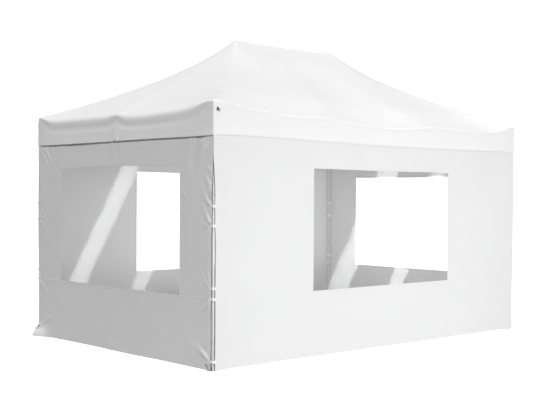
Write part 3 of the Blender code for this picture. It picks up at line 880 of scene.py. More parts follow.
def follow(surface, path, closed=False):
    """Points, side vectors and outward normals of a path of (column, row) pairs on a surface."""
    step = 0.0008
    points = [surface(u, v) for u, v in path]
    count = len(points)
    sides, normals = [], []
    for k, (u, v) in enumerate(path):
        across = surface(u + step, v) - surface(u - step, v)
        up = surface(u, v + step) - surface(u, v - step)
        normal = across.cross(up).normalized()
        before = points[k - 1] if closed or k else points[k]
        after = points[(k + 1) % count] if closed or k < count - 1 else points[k]
        tangent = (after - before).normalized()
        normals.append(normal)
        sides.append(tangent.cross(normal).normalized())
    return points, sides, normals


def lifted(surface, path, lift, closed=False):
    """The points of a path on a surface, lifted off it."""
    points, _, normals = follow(surface, path, closed)
    return [point + normal * lift for point, normal in zip(points, normals)]


def round_path(points, radius, steps=5, closed=False):
    """A path with its corners rounded."""
    rounded = []
    count = len(points)
    for k, point in enumerate(points):
        if not closed and k in (0, count - 1):
            rounded.append(point.copy())
            continue
        before, after = points[k - 1], points[(k + 1) % count]
        start = point + (before - point).normalized() * radius
        end = point + (after - point).normalized() * radius
        for n in range(steps + 1):
            t = n / steps
            rounded.append(start * (1 - t) ** 2 + point * (2 * t * (1 - t)) + end * t * t)
    return rounded


class Finish:
    """A material in the making."""

    def __init__(self, name, colour, roughness, values=None):
        self.material = bpy.data.materials.new(name)
        self.material.use_nodes = True
        self.nodes = self.material.node_tree.nodes
        self.links = self.material.node_tree.links
        self.shader = self.nodes["Principled BSDF"]
        self.feed("Base Color", (*colour, 1.0))
        self.feed("Roughness", roughness)
        for key, value in (values or {}).items():
            self.feed(key, value)
        self.place = self.add("ShaderNodeTexCoord")

    def feed(self, name, value, node=None):
        """Set or link an input of the shader or of another node."""
        socket = (node or self.shader).inputs[name]
        if isinstance(value, bpy.types.NodeSocket):
            self.links.new(value, socket)
        else:
            socket.default_value = value

    def add(self, kind, inputs=None, **settings):
        """A new node with its settings and inputs."""
        node = self.nodes.new(kind)
        for key, value in settings.items():
            setattr(node, key, value)
        for key, value in (inputs or {}).items():
            self.feed(key, value, node)
        return node

    def noise(self, scale, detail=2.0, coordinates="Object", stretch=None):
        """Noise in the object's metres, perhaps stretched along an axis."""
        vector = self.place.outputs[coordinates]
        if stretch:
            vector = self.add("ShaderNodeMapping", {"Vector": vector, "Scale": stretch}).outputs["Vector"]
        inputs = {"Vector": vector, "Scale": scale, "Detail": detail}
        return self.add("ShaderNodeTexNoise", inputs).outputs["Fac"]

    def between(self, value, low, high):
        """value, from 0 to 1, mapped to low to high."""
        inputs = {"Value": value, "To Min": low, "To Max": high}
        return self.add("ShaderNodeMapRange", inputs).outputs["Result"]

    def tint(self, value, colour, low, high):
        """Base colour that runs from low to high times a colour."""
        node = self.add("ShaderNodeMix", data_type="RGBA")
        self.links.new(value, node.inputs[0])
        node.inputs[6].default_value = (*(low * channel for channel in colour), 1.0)
        node.inputs[7].default_value = (*(high * channel for channel in colour), 1.0)
        self.feed("Base Color", node.outputs[2])

    def bump(self, height, distance, strength=1.0, under=None):
        """Relief, laid over the relief under it."""
        inputs = {"Height": height, "Distance": distance, "Strength": strength}
        if under:
            inputs["Normal"] = under
        return self.add("ShaderNodeBump", inputs).outputs["Normal"]


def waves(finish, coordinates, direction, period):
    """Parallel ribs a period apart, along one of the UV directions."""
    scale = 2 * pi / (20.0 * period)
    inputs = {"Vector": finish.place.outputs[coordinates], "Scale": scale, "Distortion": 0.0}
    settings = {"wave_type": "BANDS", "bands_direction": direction}
    return finish.add("ShaderNodeTexWave", inputs, **settings).outputs["Fac"]


def cloth_finish(name, colour):
    """Coated polyester: a fine plain weave under a soft coating, with a little unevenness."""
    finish = Finish(name, colour, 0.6, {"Specular IOR Level": 0.25})
    finish.tint(finish.noise(1.7, 3.0), colour, 0.985, 1.015)
    finish.feed("Roughness", finish.between(finish.noise(6.0, 3.0), 0.52, 0.68))
    crumple = finish.bump(finish.noise(7.0, 3.0), 0.0020, 0.35)
    warp = waves(finish, "UV", "X", 0.0011)
    weft = waves(finish, "UV", "Y", 0.0013)
    weave = finish.add("ShaderNodeMath", {0: warp, 1: weft}, operation="MULTIPLY").outputs["Value"]
    finish.feed("Normal", finish.bump(weave, 0.00008, 0.5, crumple))
    return finish.material


def webbing_finish(name, colour):
    """Woven webbing: ribs across the band and a fuzzy roughness."""
    finish = Finish(name, colour, 0.75, {"Specular IOR Level": 0.2})
    finish.tint(finish.noise(60.0, 3.0), colour, 0.94, 1.04)
    ribs = waves(finish, "UV", "X", 0.0022)
    fuzz = finish.bump(finish.noise(400.0, 2.0), 0.0003, 0.4)
    finish.feed("Normal", finish.bump(ribs, 0.0003, 0.6, fuzz))
    return finish.material


def film_finish(name, window):
    """Clear soft film, glossy, with faint waves and hazy patches."""
    values = {"Alpha": window.opacity, "Specular IOR Level": 0.6}
    finish = Finish(name, window.colour, window.roughness, values)
    finish.tint(finish.noise(3.0, 2.0), window.colour, 0.98, 1.0)
    haze = finish.between(finish.noise(2.5, 4.0), window.roughness * 0.85, window.roughness * 1.15)
    finish.feed("Roughness", haze)
    finish.feed("Normal", finish.bump(finish.noise(4.0, 1.0), 0.0001, 0.3))
    return finish.material


def metal_finish(name, colour, roughness, stretch, metallic=1.0):
    """Drawn metal with fine marks along one axis."""
    finish = Finish(name, colour, roughness, {"Metallic": metallic})
    marks = finish.noise(1.0, 3.0, stretch=stretch)
    finish.tint(finish.noise(9.0, 3.0), colour, 0.93, 1.04)
    finish.feed("Roughness", finish.between(marks, roughness * 0.8, roughness * 1.3))
    finish.feed("Normal", finish.bump(marks, 0.0002, 0.25))
    return finish.material


def moulded_finish(name, colour, roughness):
    """Moulded nylon with a fine spark-eroded grain."""
    finish = Finish(name, colour, roughness)
    grain = finish.noise(900.0, 2.0)
    finish.tint(finish.noise(25.0, 2.0), colour, 0.92, 1.05)
    finish.feed("Roughness", finish.between(grain, roughness * 0.85, roughness * 1.2))
    finish.feed("Normal", finish.bump(grain, 0.0001, 0.4))
    return finish.material


def shared_material(name, make, *args):
    """The material of that name, made at its first use."""
    return bpy.data.materials.get(name) or make(name, *args)


def metal(name, colour, roughness, stretch, metallic=1.0):
    """A metal of that name, with its marks per metre along each axis."""
    return shared_material(name, metal_finish, colour, roughness, stretch, metallic)


def wall_cloth(scene):
    """The walls' material."""
    return shared_material("wall_polyester", cloth_finish, tuple(scene.tent_cloth.wall_colour))


def roof_cloth(scene):
    """The roof cover's material."""
    return shared_material("roof_polyester", cloth_finish, tuple(scene.tent_cloth.roof_colour))


def white_webbing():
    """The straps' material."""
    return shared_material("white_webbing", webbing_finish, (0.80, 0.80, 0.80))


def dark_webbing():
    """The material of the dark rings' tabs."""
    return shared_material("dark_webbing", webbing_finish, (0.10, 0.10, 0.11))


def dark_steel():
    """The hooks' and rings' material."""
    return metal("dark_steel", (0.10, 0.10, 0.105), 0.38, (300.0, 300.0, 300.0), 0.7)


class NodeTree:
    """A geometry node tree in the making, from Geometry in to Geometry out."""

    def __init__(self, name, sizes):
        self.tree = bpy.data.node_groups.new(name, "GeometryNodeTree")
        self.interface = self.tree.interface
        self.interface.new_socket(name="Geometry", in_out="INPUT", socket_type="NodeSocketGeometry")
        self.identifiers = {}
        for size in sizes:
            socket = self.interface.new_socket(name=size, in_out="INPUT", socket_type="NodeSocketFloat")
            self.identifiers[size] = socket.identifier
        self.interface.new_socket(name="Geometry", in_out="OUTPUT", socket_type="NodeSocketGeometry")
        self.entry = self.tree.nodes.new("NodeGroupInput").outputs

    def add(self, kind, inputs=None, **settings):
        """A new node with its settings and inputs."""
        node = self.tree.nodes.new(kind)
        for key, value in settings.items():
            setattr(node, key, value)
        for key, value in (inputs or {}).items():
            if isinstance(value, bpy.types.NodeSocket):
                self.tree.links.new(value, node.inputs[key])
            else:
                node.inputs[key].default_value = value
        return node

    def end(self, instances, finish):
        """Realize the instances and give them their material."""
        real = self.add("GeometryNodeRealizeInstances", {"Geometry": instances}).outputs["Geometry"]
        done = self.add("GeometryNodeSetMaterial", {"Geometry": real, "Material": finish})
        exit_node = self.tree.nodes.new("NodeGroupOutput")
        self.tree.links.new(done.outputs["Geometry"], exit_node.inputs["Geometry"])


def run_tree(name, guide, node_tree, sizes):
    """The mesh that a node tree makes of a guide object, as a plain object that takes the guide's place."""
    modifier = guide.modifiers.new("Make", "NODES")
    modifier.node_group = node_tree.tree
    for size, value in sizes.items():
        modifier[node_tree.identifiers[size]] = value
    evaluated = guide.evaluated_get(bpy.context.evaluated_depsgraph_get())
    mesh = bpy.data.meshes.new_from_object(evaluated)
    bpy.data.objects.remove(guide)
    if not mesh.polygons:
        raise RuntimeError(f"the nodes made nothing for {name}")
    mesh.name = name
    return link(bpy.data.objects.new(name, mesh))


def stitch_tree(finish):
    """Nodes that set a stitch at every pitch along the guide's lines."""
    tree = NodeTree("Stitches", ("Pitch", "Length", "Thickness"))
    entry = tree.entry
    lines = tree.add("GeometryNodeMeshToCurve", {"Mesh": entry["Geometry"]}).outputs["Curve"]
    spots = tree.add("GeometryNodeCurveToPoints", {"Curve": lines, "Length": entry["Pitch"]}, mode="LENGTH")
    stitch = tree.add("GeometryNodeMeshUVSphere", {"Segments": 4, "Rings": 2, "Radius": 0.5}).outputs["Mesh"]
    turn = tree.add("FunctionNodeAlignRotationToVector", {"Vector": spots.outputs["Tangent"]}, axis="Z")
    size = {"X": entry["Thickness"], "Y": entry["Thickness"], "Z": entry["Length"]}
    scale = tree.add("ShaderNodeCombineXYZ", size).outputs["Vector"]
    placed = tree.add("GeometryNodeInstanceOnPoints", {
        "Points": spots.outputs["Points"], "Instance": stitch,
        "Rotation": turn.outputs["Rotation"], "Scale": scale,
    })
    tree.end(placed.outputs["Instances"], finish)
    return tree


def rivet_tree(finish):
    """Nodes that set a domed head on every point of the guide, facing its own way."""
    tree = NodeTree("Rivets", ("Radius", "Height"))
    entry = tree.entry
    dome = tree.add("GeometryNodeMeshUVSphere", {"Segments": 14, "Rings": 8, "Radius": 1.0}).outputs["Mesh"]
    facing = tree.add("GeometryNodeInputNamedAttribute", {"Name": "facing"}, data_type="FLOAT_VECTOR")
    turn = tree.add("FunctionNodeAlignRotationToVector", {"Vector": facing.outputs["Attribute"]}, axis="Z")
    size = {"X": entry["Radius"], "Y": entry["Radius"], "Z": entry["Height"]}
    scale = tree.add("ShaderNodeCombineXYZ", size).outputs["Vector"]
    placed = tree.add("GeometryNodeInstanceOnPoints", {
        "Points": entry["Geometry"], "Instance": dome,
        "Rotation": turn.outputs["Rotation"], "Scale": scale,
    })
    tree.end(placed.outputs["Instances"], finish)
    return tree


def stitches(name, lines, trim):
    """Stitches along lists of points."""
    points, edges = [], []
    for line in lines:
        first = len(points)
        points += [tuple(point) for point in line]
        edges += [(first + k, first + k + 1) for k in range(len(line) - 1)]
    mesh = bpy.data.meshes.new(name + "_lines")
    mesh.from_pydata(points, edges, [])
    guide = link(bpy.data.objects.new(name + "_lines", mesh))
    thread = shared_material("white_thread", webbing_finish, (0.78, 0.78, 0.78))
    sizes = {"Pitch": trim.stitch_pitch, "Length": trim.stitch_length, "Thickness": trim.stitch_thickness}
    return run_tree(name, guide, stitch_tree(thread), sizes)


def evenly(start, end, step):
    """Positions from start to end about one step apart."""
    count = max(1, round(abs(end - start) / step))
    return [start + (end - start) * k / count for k in range(count + 1)]


def canopy_columns(cloth):
    """Where the roof cover's mesh has its columns: closer at the corners and the short sides' pleats."""
    stops = outline_stops(cloth)
    columns = []
    for k, (low, high) in enumerate(zip(stops, stops[1:])):
        if k % 2:
            columns += spread([low, high], cloth.corner_radius * pi / 8)[:-1]
            continue
        pleat_low, pleat_high = (low + high) / 2 - PLEAT_REACH, (low + high) / 2 + PLEAT_REACH
        short = k % 4 == 2
        fine = cloth.pleat_step if short else cloth.column_step
        columns += spread([low, pleat_low], cloth.column_step)[:-1]
        columns += spread([pleat_low, pleat_high], fine)[:-1]
        columns += spread([pleat_high, high], cloth.column_step)[:-1]
    return columns


def canopy_rows(cloth):
    """Where it has its rows: the hem and the valance up to 1, the fold up to 2 and the slope up to 3."""
    hem = cloth.hem / (CORNER_Z - VALANCE_LOW)
    above_hem = hem * 1.15
    valance_rows, fold_rows, slope_rows = 11, 8, 34
    rows = [0.0, hem * 0.5, hem, above_hem]
    rows += [above_hem + (1.0 - above_hem) * (k + 1) / valance_rows for k in range(valance_rows)]
    rows += [1.0 + (k + 1) / fold_rows for k in range(fold_rows)]
    return rows + [2.0 + (1.0 - cos(pi * (k + 1) / slope_rows)) / 2 for k in range(slope_rows)]


def weld_ridge(obj):
    """Join the points that meet on the ridge and at its ends."""
    bm = bmesh.new()
    bm.from_mesh(obj.data)
    top = [vert for vert in bm.verts if abs(vert.co.y) < 1e-5]
    bmesh.ops.remove_doubles(bm, verts=top, dist=1e-4)
    bm.to_mesh(obj.data)
    bm.free()


class TENT_OT_canopy(Operator):
    """Make the roof cover with its rolled eaves and its valance as one sheet"""

    bl_idname = "tent.canopy"
    bl_label = "Canopy"

    def execute(self, context):
        scene = context.scene
        cloth = scene.tent_cloth

        def surface(run, rise):
            return canopy_point(run, rise, cloth)

        def uv(run, rise, point):
            place = station(run, cloth)
            slope = hypot((point - place.edge).xy.length, point.z - place.height)
            return (point.dot(place.side.along), -slope if rise < 1.5 else slope)

        columns, rows = canopy_columns(cloth), canopy_rows(cloth)
        obj = cloth_grid("canopy", surface, columns, rows, uv, roof_cloth(scene), closed=True)
        weld_ridge(obj)
        thicken(obj, cloth.thickness)
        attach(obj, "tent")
        panels = [f"{name}_{kind}" for name in SIDES for kind in ("roof_panel", "valance")]
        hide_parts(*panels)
        return {"FINISHED"}


class TENT_OT_canopy_seams(Operator):
    """Sew the hips, the eave seam and the hem of the roof cover"""

    bl_idname = "tent.canopy_seams"
    bl_label = "Canopy seams"

    def execute(self, context):
        scene = context.scene
        cloth, trim = scene.tent_cloth, scene.tent_trim
        stops = outline_stops(cloth)
        total = stops[-1]

        def surface(run, rise):
            return canopy_point(run, rise, cloth)

        corners = [(stops[k] + stops[k + 1]) / 2 for k in (1, 3, 5, 7)]
        pile = Pile()
        for run in corners:
            path = follow(surface, [(run, rise) for rise in evenly(0.001, 0.96, 0.05)])
            pile.band(*path, trim.corner_seam_width, trim.corner_seam_thickness)
        seams = pile.finish("canopy_corner_seams", roof_cloth(scene))
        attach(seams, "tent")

        lines = []
        lift = trim.stitch_thickness * STITCH_SINK
        valance_height = CORNER_Z - VALANCE_LOW
        runs = evenly(0.0, total - 0.001, SEAM_STEP)
        for rise in (cloth.hem / valance_height * 0.9, 1.0 - VALANCE_SEAM / valance_height):
            lines.append(lifted(surface, [(run, rise) for run in runs], lift))
        for run in corners:
            for sign in (-1, 1):
                path = []
                for rise in evenly(2.0, HIP_SEAM_TOP, 0.02):
                    beside = HIP_SEAM_BESIDE / (3.0 - rise) + cloth.corner_radius
                    path.append((run + sign * beside, rise))
                lines.append(lifted(surface, path, lift))
        thread = stitches("canopy_stitches", lines, trim)
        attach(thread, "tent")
        return {"FINISHED"}


def flat_uv(a, z, point):
    """The pattern's place on a wall or a window, which hang flat."""
    return (a, z)


class TENT_OT_walls(Operator):
    """Make the four side walls, each with its window opening"""

    bl_idname = "tent.walls"
    bl_label = "Walls"

    def execute(self, context):
        scene = context.scene
        cloth = scene.tent_cloth
        hem, above_hem = cloth.hem, cloth.hem * 1.1

        def hole(a, z):
            return abs(a) < WINDOW_HALF and WINDOW_LOW < z < WINDOW_HIGH

        for side in SIDES.values():
            step = cloth.short_step if side.half == HALF_WIDTH else cloth.long_step
            heights = [WALL_LOW, WALL_LOW + hem, WALL_LOW + above_hem, WINDOW_LOW, WINDOW_HIGH, VALANCE_LOW]
            rows = spread(heights + [WALL_HIGH - 0.01], step)
            right = [WINDOW_HALF, side.reach - above_hem, side.reach - hem, side.reach]
            columns = spread([-place for place in reversed(right)] + right, step)

            def surface(a, z, side=side):
                return wall_point(side, a, z, cloth)

            name = f"{side.name}_wall_cloth"
            obj = cloth_grid(name, surface, columns, rows, flat_uv, wall_cloth(scene), hole=hole)
            thicken(obj, cloth.thickness)
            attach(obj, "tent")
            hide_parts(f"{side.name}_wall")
        return {"FINISHED"}


class TENT_OT_windows(Operator):
    """Make the clear film of the four windows"""

    bl_idname = "tent.windows"
    bl_label = "Windows"

    def execute(self, context):
        scene = context.scene
        cloth, window = scene.tent_cloth, scene.tent_window
        film = shared_material("clear_film", film_finish, window)
        reach = WINDOW_HALF + window.margin
        columns = spread([-reach, -WINDOW_HALF, WINDOW_HALF, reach], window.step)
        low, high = WINDOW_LOW - window.margin, WINDOW_HIGH + window.margin
        rows = spread([low, WINDOW_LOW, WINDOW_HIGH, high], window.step)

        for side in SIDES.values():

            def surface(a, z, side=side):
                return film_point(side, a, z, cloth, window)

            obj = cloth_grid(f"{side.name}_window_film", surface, columns, rows, flat_uv, film)
            thicken(obj, window.thickness)
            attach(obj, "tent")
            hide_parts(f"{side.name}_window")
        return {"FINISHED"}


def window_seams(surface, pile, end, window, lift):
    """Add a window's bands to a pile, the lower one out to end, and return their stitches' lines."""
    width = window.frame_width
    beside = WINDOW_HALF + width
    low, high = WINDOW_LOW - width / 2, WINDOW_HIGH + width / 2
    stitch_shifts = (STITCH_INSET - width / 2, width / 2 - STITCH_INSET)
    lines = []
    for height, stop in ((low, end), (high, beside)):
        path = [(a, height) for a in evenly(-stop, stop, BAND_STEP)]
        pile.band(*follow(surface, path), width, BAND_THICKNESS)
        for shift in stitch_shifts:
            row = [(a, height + shift) for a in evenly(0.002 - stop, stop - 0.002, BAND_STEP)]
            lines.append(lifted(surface, row, lift + BAND_THICKNESS))
    for middle in (width / 2 - beside, beside - width / 2):
        path = [(middle, z) for z in evenly(low, high, BAND_STEP)]
        pile.band(*follow(surface, path), width, POST_THICKNESS)
        for shift in stitch_shifts:
            row = [(middle + shift, z) for z in evenly(low + width / 2, high - width / 2, BAND_STEP)]
            lines.append(lifted(surface, row, lift + POST_THICKNESS))
    return lines


def hem_stitches(surface, reach, hem, lift):
    """The lines of stitches in a wall's hems."""
    lines = []
    inset = hem * 0.9
    for a in (inset - reach, reach - inset):
        lines.append(lifted(surface, [(a, z) for z in evenly(0.02, VALANCE_LOW, BAND_STEP)], lift))
    row = [(a, WALL_LOW + inset) for a in evenly(0.004 - reach, reach - 0.004, BAND_STEP)]
    return lines + [lifted(surface, row, lift)]


class TENT_OT_wall_seams(Operator):
    """Sew the walls: the bands round the windows and the hems"""

    bl_idname = "tent.wall_seams"
    bl_label = "Wall seams"

    def execute(self, context):
        scene = context.scene
        cloth, trim, window = scene.tent_cloth, scene.tent_trim, scene.tent_window
        lift = trim.stitch_thickness * STITCH_SINK
        for side in SIDES.values():

            def surface(a, z, side=side):
                return wall_point(side, a, z, cloth)

            short = side.half == HALF_WIDTH
            end = side.reach - 0.003 if short else WINDOW_HALF + window.frame_width
            pile = Pile()
            lines = window_seams(surface, pile, end, window, lift)
            lines += hem_stitches(surface, side.reach, cloth.hem, lift)
            bands = pile.finish(f"{side.name}_wall_bands", wall_cloth(scene))
            thread = stitches(f"{side.name}_wall_stitches", lines, trim)
            for obj in (bands, thread):
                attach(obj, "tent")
        return {"FINISHED"}


def wall_corner(sx, sy, height, cloth, long_side):
    """Where a wall's outer face ends at a corner, as distances from the middle, a little off the cloth."""
    names = ("front", "back") if long_side else ("left", "right")
    side = SIDES[names[(sy if long_side else sx) > 0]]
    to_corner = Vector((sx * LEG_X, sy * LEG_Y, 0)).dot(side.along)
    point = wall_point(side, side.reach if to_corner > 0 else -side.reach, height, cloth)
    point += side.out * STRAP_LIFT
    return Vector((abs(point.x), abs(point.y), height))


def leg_loop(sx, sy, height):
    """Points of a strap's loop round a leg, with their outward vectors."""
    on_inner_leg = height < OUTER_LEG_LOW
    half = INNER_LEG_HALF + INNER_LEG_PLAY if on_inner_leg else OUTER_LEG_HALF + OUTER_LEG_PLAY
    corners = [Vector((half * kx, half * ky, 0)) for kx, ky in ((-1, -1), (1, -1), (1, 1), (-1, 1))]
    points = round_path(corners, 0.0025, closed=True)
    centre = Vector((sx * LEG_X, sy * LEG_Y, height))
    return [centre + point for point in points], [point.normalized() for point in points]


def neighbours(path, k):
    """From the point before to the point after the one at k."""
    return path[min(k + 1, len(path) - 1)] - path[max(k - 1, 0)]


def corner_strap(name, sx, sy, height, cloth):
    """Points of a strap round the ends of two walls, with their outward vectors."""
    short = wall_corner(sx, sy, height, cloth, False)
    long = wall_corner(sx, sy, height, cloth, True)
    lap = LONG_STRAP_LAP if height == LONG_LAP_HEIGHT else STRAP_LAP
    corner = [
        Vector((short.x, short.y - lap, 0)), Vector((short.x, short.y + 0.001, 0)),
        Vector((short.x, long.y, 0)),
        Vector((long.x + 0.001, long.y, 0)), Vector((long.x - STRAP_LAP, long.y, 0)),
    ]
    if name == "back_left" and height < LOOSE_HEIGHT:
        corner = corner[1:]
    path = round_path(corner, 0.005)
    points, normals = [], []
    for k, point in enumerate(path):
        ahead = neighbours(path, k)
        out = Vector((-ahead.y, ahead.x, 0)).normalized()
        if out.x + out.y < 0:
            out = -out
        points.append(Vector((sx * point.x, sy * point.y, height)))
        normals.append(Vector((sx * out.x, sy * out.y, 0)))
    return points, normals


class TENT_OT_straps(Operator):
    """Make the hook-and-loop straps that hold the walls' ends to the legs"""

    bl_idname = "tent.straps"
    bl_label = "Straps"

    def execute(self, context):
        scene = context.scene
        trim = scene.tent_trim
        pile = Pile()
        for name, sx, sy in CORNERS:
            for height in STRAP_HEIGHTS:
                points, normals = leg_loop(sx, sy, height)
                sides = [UP] * len(points)
                pile.band(points, sides, normals, trim.strap_height, trim.strap_thickness * 0.8, closed=True)
                points, normals = corner_strap(name, sx, sy, height, scene.tent_cloth)
                sides = [UP] * len(points)
                pile.band(points, sides, normals, trim.strap_height, trim.strap_thickness)
        straps = pile.finish("corner_straps", white_webbing())
        make_outward(straps)
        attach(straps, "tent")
        return {"FINISHED"}


def make_outward(obj):
    """Turn the faces of closed shells so that they point out."""
    bm = bmesh.new()
    bm.from_mesh(obj.data)
    bmesh.ops.recalc_face_normals(bm, faces=bm.faces)
    bm.to_mesh(obj.data)
    bm.free()


def circle(centre, across, up, radius, count):
    """Points round a circle, or round an ellipse where up is shorter than across."""
    turns = [2 * pi * k / count for k in range(count)]
    return [centre + (across * cos(turn) + up * sin(turn)) * radius for turn in turns]


def ring_tab(x, sy, top):
    """The band of webbing that holds a guy ring, sewn to the valance above it."""
    path = [Vector((x, sy * (HALF_WIDTH + out), top + up)) for out, up in TAB_PATH]
    path = round_path(path, 0.0025, steps=3)
    across = Vector((1, 0, 0))
    normals = [across.cross(neighbours(path, k)).normalized() * -sy for k in range(len(path))]
    tab = Pile()
    tab.band(path, [across] * len(path), normals, TAB_WIDTH, TAB_THICKNESS)
    return tab


def wall_hook(pile, name, sx, sy, wire_radius):
    """A wire hook through its eyelet at the lower corner of a short wall, added to a pile."""
    out_shift, rise = HOOK_SHIFTS.get(name, (0.0, 0.0))
    face = SIDES["left"].plane + out_shift
    path = [Vector((sx * (face + HOOK_LIFT + out), sy * y, z + rise)) for out, y, z in HOOK_PATH]
    pile.wire(round_path(path, 0.003, steps=3), wire_radius)
    out, y, z = EYELET_PLACE
    eyelet = circle(Vector((sx * (face + out), sy * y, z + rise)), Vector((0, 1, 0)), UP, EYELET_RADIUS, 20)
    pile.wire(eyelet, EYELET_WIRE, closed=True)


class TENT_OT_fittings(Operator):
    """Make the guy rings on their webbing tabs and the hooks at the walls' lower corners"""

    bl_idname = "tent.fittings"
    bl_label = "Fittings"

    def execute(self, context):
        trim = context.scene.tent_trim
        for name, sx, sy in CORNERS:
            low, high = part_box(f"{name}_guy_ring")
            x = (low.x + high.x) / 2
            centre = Vector((x, sy * (HALF_WIDTH + RING_OUT), high.z - RING_DROP))
            pile = Pile()
            loop = circle(centre, Vector((1, 0, 0)), Vector((0, -sy * RING_LEAN, 1)), RING_RADIUS, 28)
            pile.wire(loop, trim.wire_radius, closed=True)
            ring_look, tab_look = dark_steel(), dark_webbing()
            if name == "front_right":
                ring_look = tab_look = white_webbing()
            ring = pile.finish(f"{name}_ring", ring_look)
            make_outward(ring)
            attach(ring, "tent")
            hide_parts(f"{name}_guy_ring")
            tab = ring_tab(x, sy, high.z).finish(f"{name}_ring_tab", tab_look)
            make_outward(tab)
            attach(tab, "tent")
        pile = Pile()
        for name, sx, sy in CORNERS:
            wall_hook(pile, name, sx, sy, trim.wire_radius)
        hooks = pile.finish("wall_hooks", dark_steel())
        make_outward(hooks)
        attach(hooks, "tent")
        return {"FINISHED"}


def rivet_seats():
    """Where the rivets close the scissors: the way the truss runs, the place and the half width there."""
    middle = (PIVOT_TOP + PIVOT_LOW) / 2
    long_pivot, short_pivot = LEG_X - PIVOT_INSET, LEG_Y - PIVOT_INSET
    cross = long_pivot / 3
    seats = []
    for sign in (-1, 1):
        stops = (-long_pivot, -cross, cross, long_pivot)
        for low, high in zip(stops, stops[1:]):
            seats.append(("x", (low + high) / 2, sign * LEG_Y, middle, CROSSING_FACE))
        for x in (sign * LEG_X, sign * cross):
            seats += [("y", x, side * short_pivot / 2, middle, CROSSING_FACE) for side in (-1, 1)]
        for height in (PIVOT_TOP, PIVOT_LOW):
            for side in (-1, 1):
                seats.append(("x", side * long_pivot, sign * LEG_Y, height, BAR_FACE))
                seats.append(("y", sign * LEG_X, side * short_pivot, height, BAR_FACE))
                seats.append(("y", sign * cross, side * short_pivot, height, BAR_FACE))
            seats.append(("x", sign * (cross - PIVOT_INSET), 0.0, height, BAR_FACE))
    seats.append(("x", 0.0, 0.0, middle, CROSSING_FACE))
    return seats


class TENT_OT_rivets(Operator):
    """Set the rivets of the scissors"""

    bl_idname = "tent.rivets"
    bl_label = "Rivets"

    def execute(self, context):
        trim = context.scene.tent_trim
        points, facings = [], []
        for run, x, y, z, reach in rivet_seats():
            for sign in (-1, 1):
                facing = Vector((0, sign, 0)) if run == "x" else Vector((sign, 0, 0))
                points.append(tuple(Vector((x, y, z)) + facing * reach))
                facings.extend(facing)
        mesh = bpy.data.meshes.new("rivet_spots")
        mesh.from_pydata(points, [], [])
        mesh.attributes.new("facing", "FLOAT_VECTOR", "POINT").data.foreach_set("vector", facings)
        guide = link(bpy.data.objects.new("rivet_spots", mesh))
        steel = metal("rivet_steel", (0.62, 0.63, 0.64), 0.3, (200.0, 200.0, 200.0))
        sizes = {"Radius": trim.rivet_radius, "Height": trim.rivet_height}
        rivets = run_tree("truss_rivets", guide, rivet_tree(steel), sizes)
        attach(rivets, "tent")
        return {"FINISHED"}


class TENT_OT_frame(Operator):
    """Give the frame's own pieces their finishes"""

    bl_idname = "tent.frame"
    bl_label = "Frame finishes"

    def execute(self, context):
        legs = metal("leg_metal", (0.60, 0.602, 0.606), 0.42, (260.0, 260.0, 3.0), 0.12)
        bars = metal("bar_metal", (0.80, 0.805, 0.81), 0.34, (180.0, 180.0, 40.0), 0.8)
        plate = metal("zinc_steel", (0.56, 0.57, 0.58), 0.42, (120.0, 120.0, 120.0), 0.9)
        nylon = shared_material("black_nylon", moulded_finish, (0.06, 0.06, 0.065), 0.5)
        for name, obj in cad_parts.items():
            if name.endswith("_leg"):
                finish = legs
            elif name.endswith("_bracket"):
                finish = nylon
            elif name.endswith("_foot"):
                finish = plate
            elif name.endswith(("_truss", "_mast")):
                finish = bars
            elif obj.hide_render:
                continue
            else:
                raise RuntimeError(f"{name} has no finish")
            for slot in obj.material_slots:
                slot.material = finish
        return {"FINISHED"}


def camera_axes(stage):
    """The camera's right, up and forward vectors."""
    yaw, pitch, roll = stage.camera_yaw, stage.camera_pitch, stage.camera_roll
    forward = Vector((cos(yaw) * cos(pitch), sin(yaw) * cos(pitch), sin(pitch)))
    level = Vector((sin(yaw), -cos(yaw), 0))
    upright = level.cross(forward)
    right = level * cos(roll) + upright * sin(roll)
    up = upright * cos(roll) - level * sin(roll)
    return right, up, forward


def turned(right, up, back, place):
    """A matrix from three axes and a place."""
    matrix = Matrix((right, up, back)).transposed().to_4x4()
    matrix.translation = place
    return matrix


def area_light(name, matrix, width, height, radiance):
    """A rectangular light of a given brightness that the camera doesn't see."""
    data = bpy.data.lights.new(name, "AREA")
    data.shape = "RECTANGLE"
    data.size, data.size_y = width, height
    data.energy = radiance * pi * width * height
    obj = link(bpy.data.objects.new(name, data))
    obj.matrix_world = matrix
    obj.visible_camera = False
    return obj


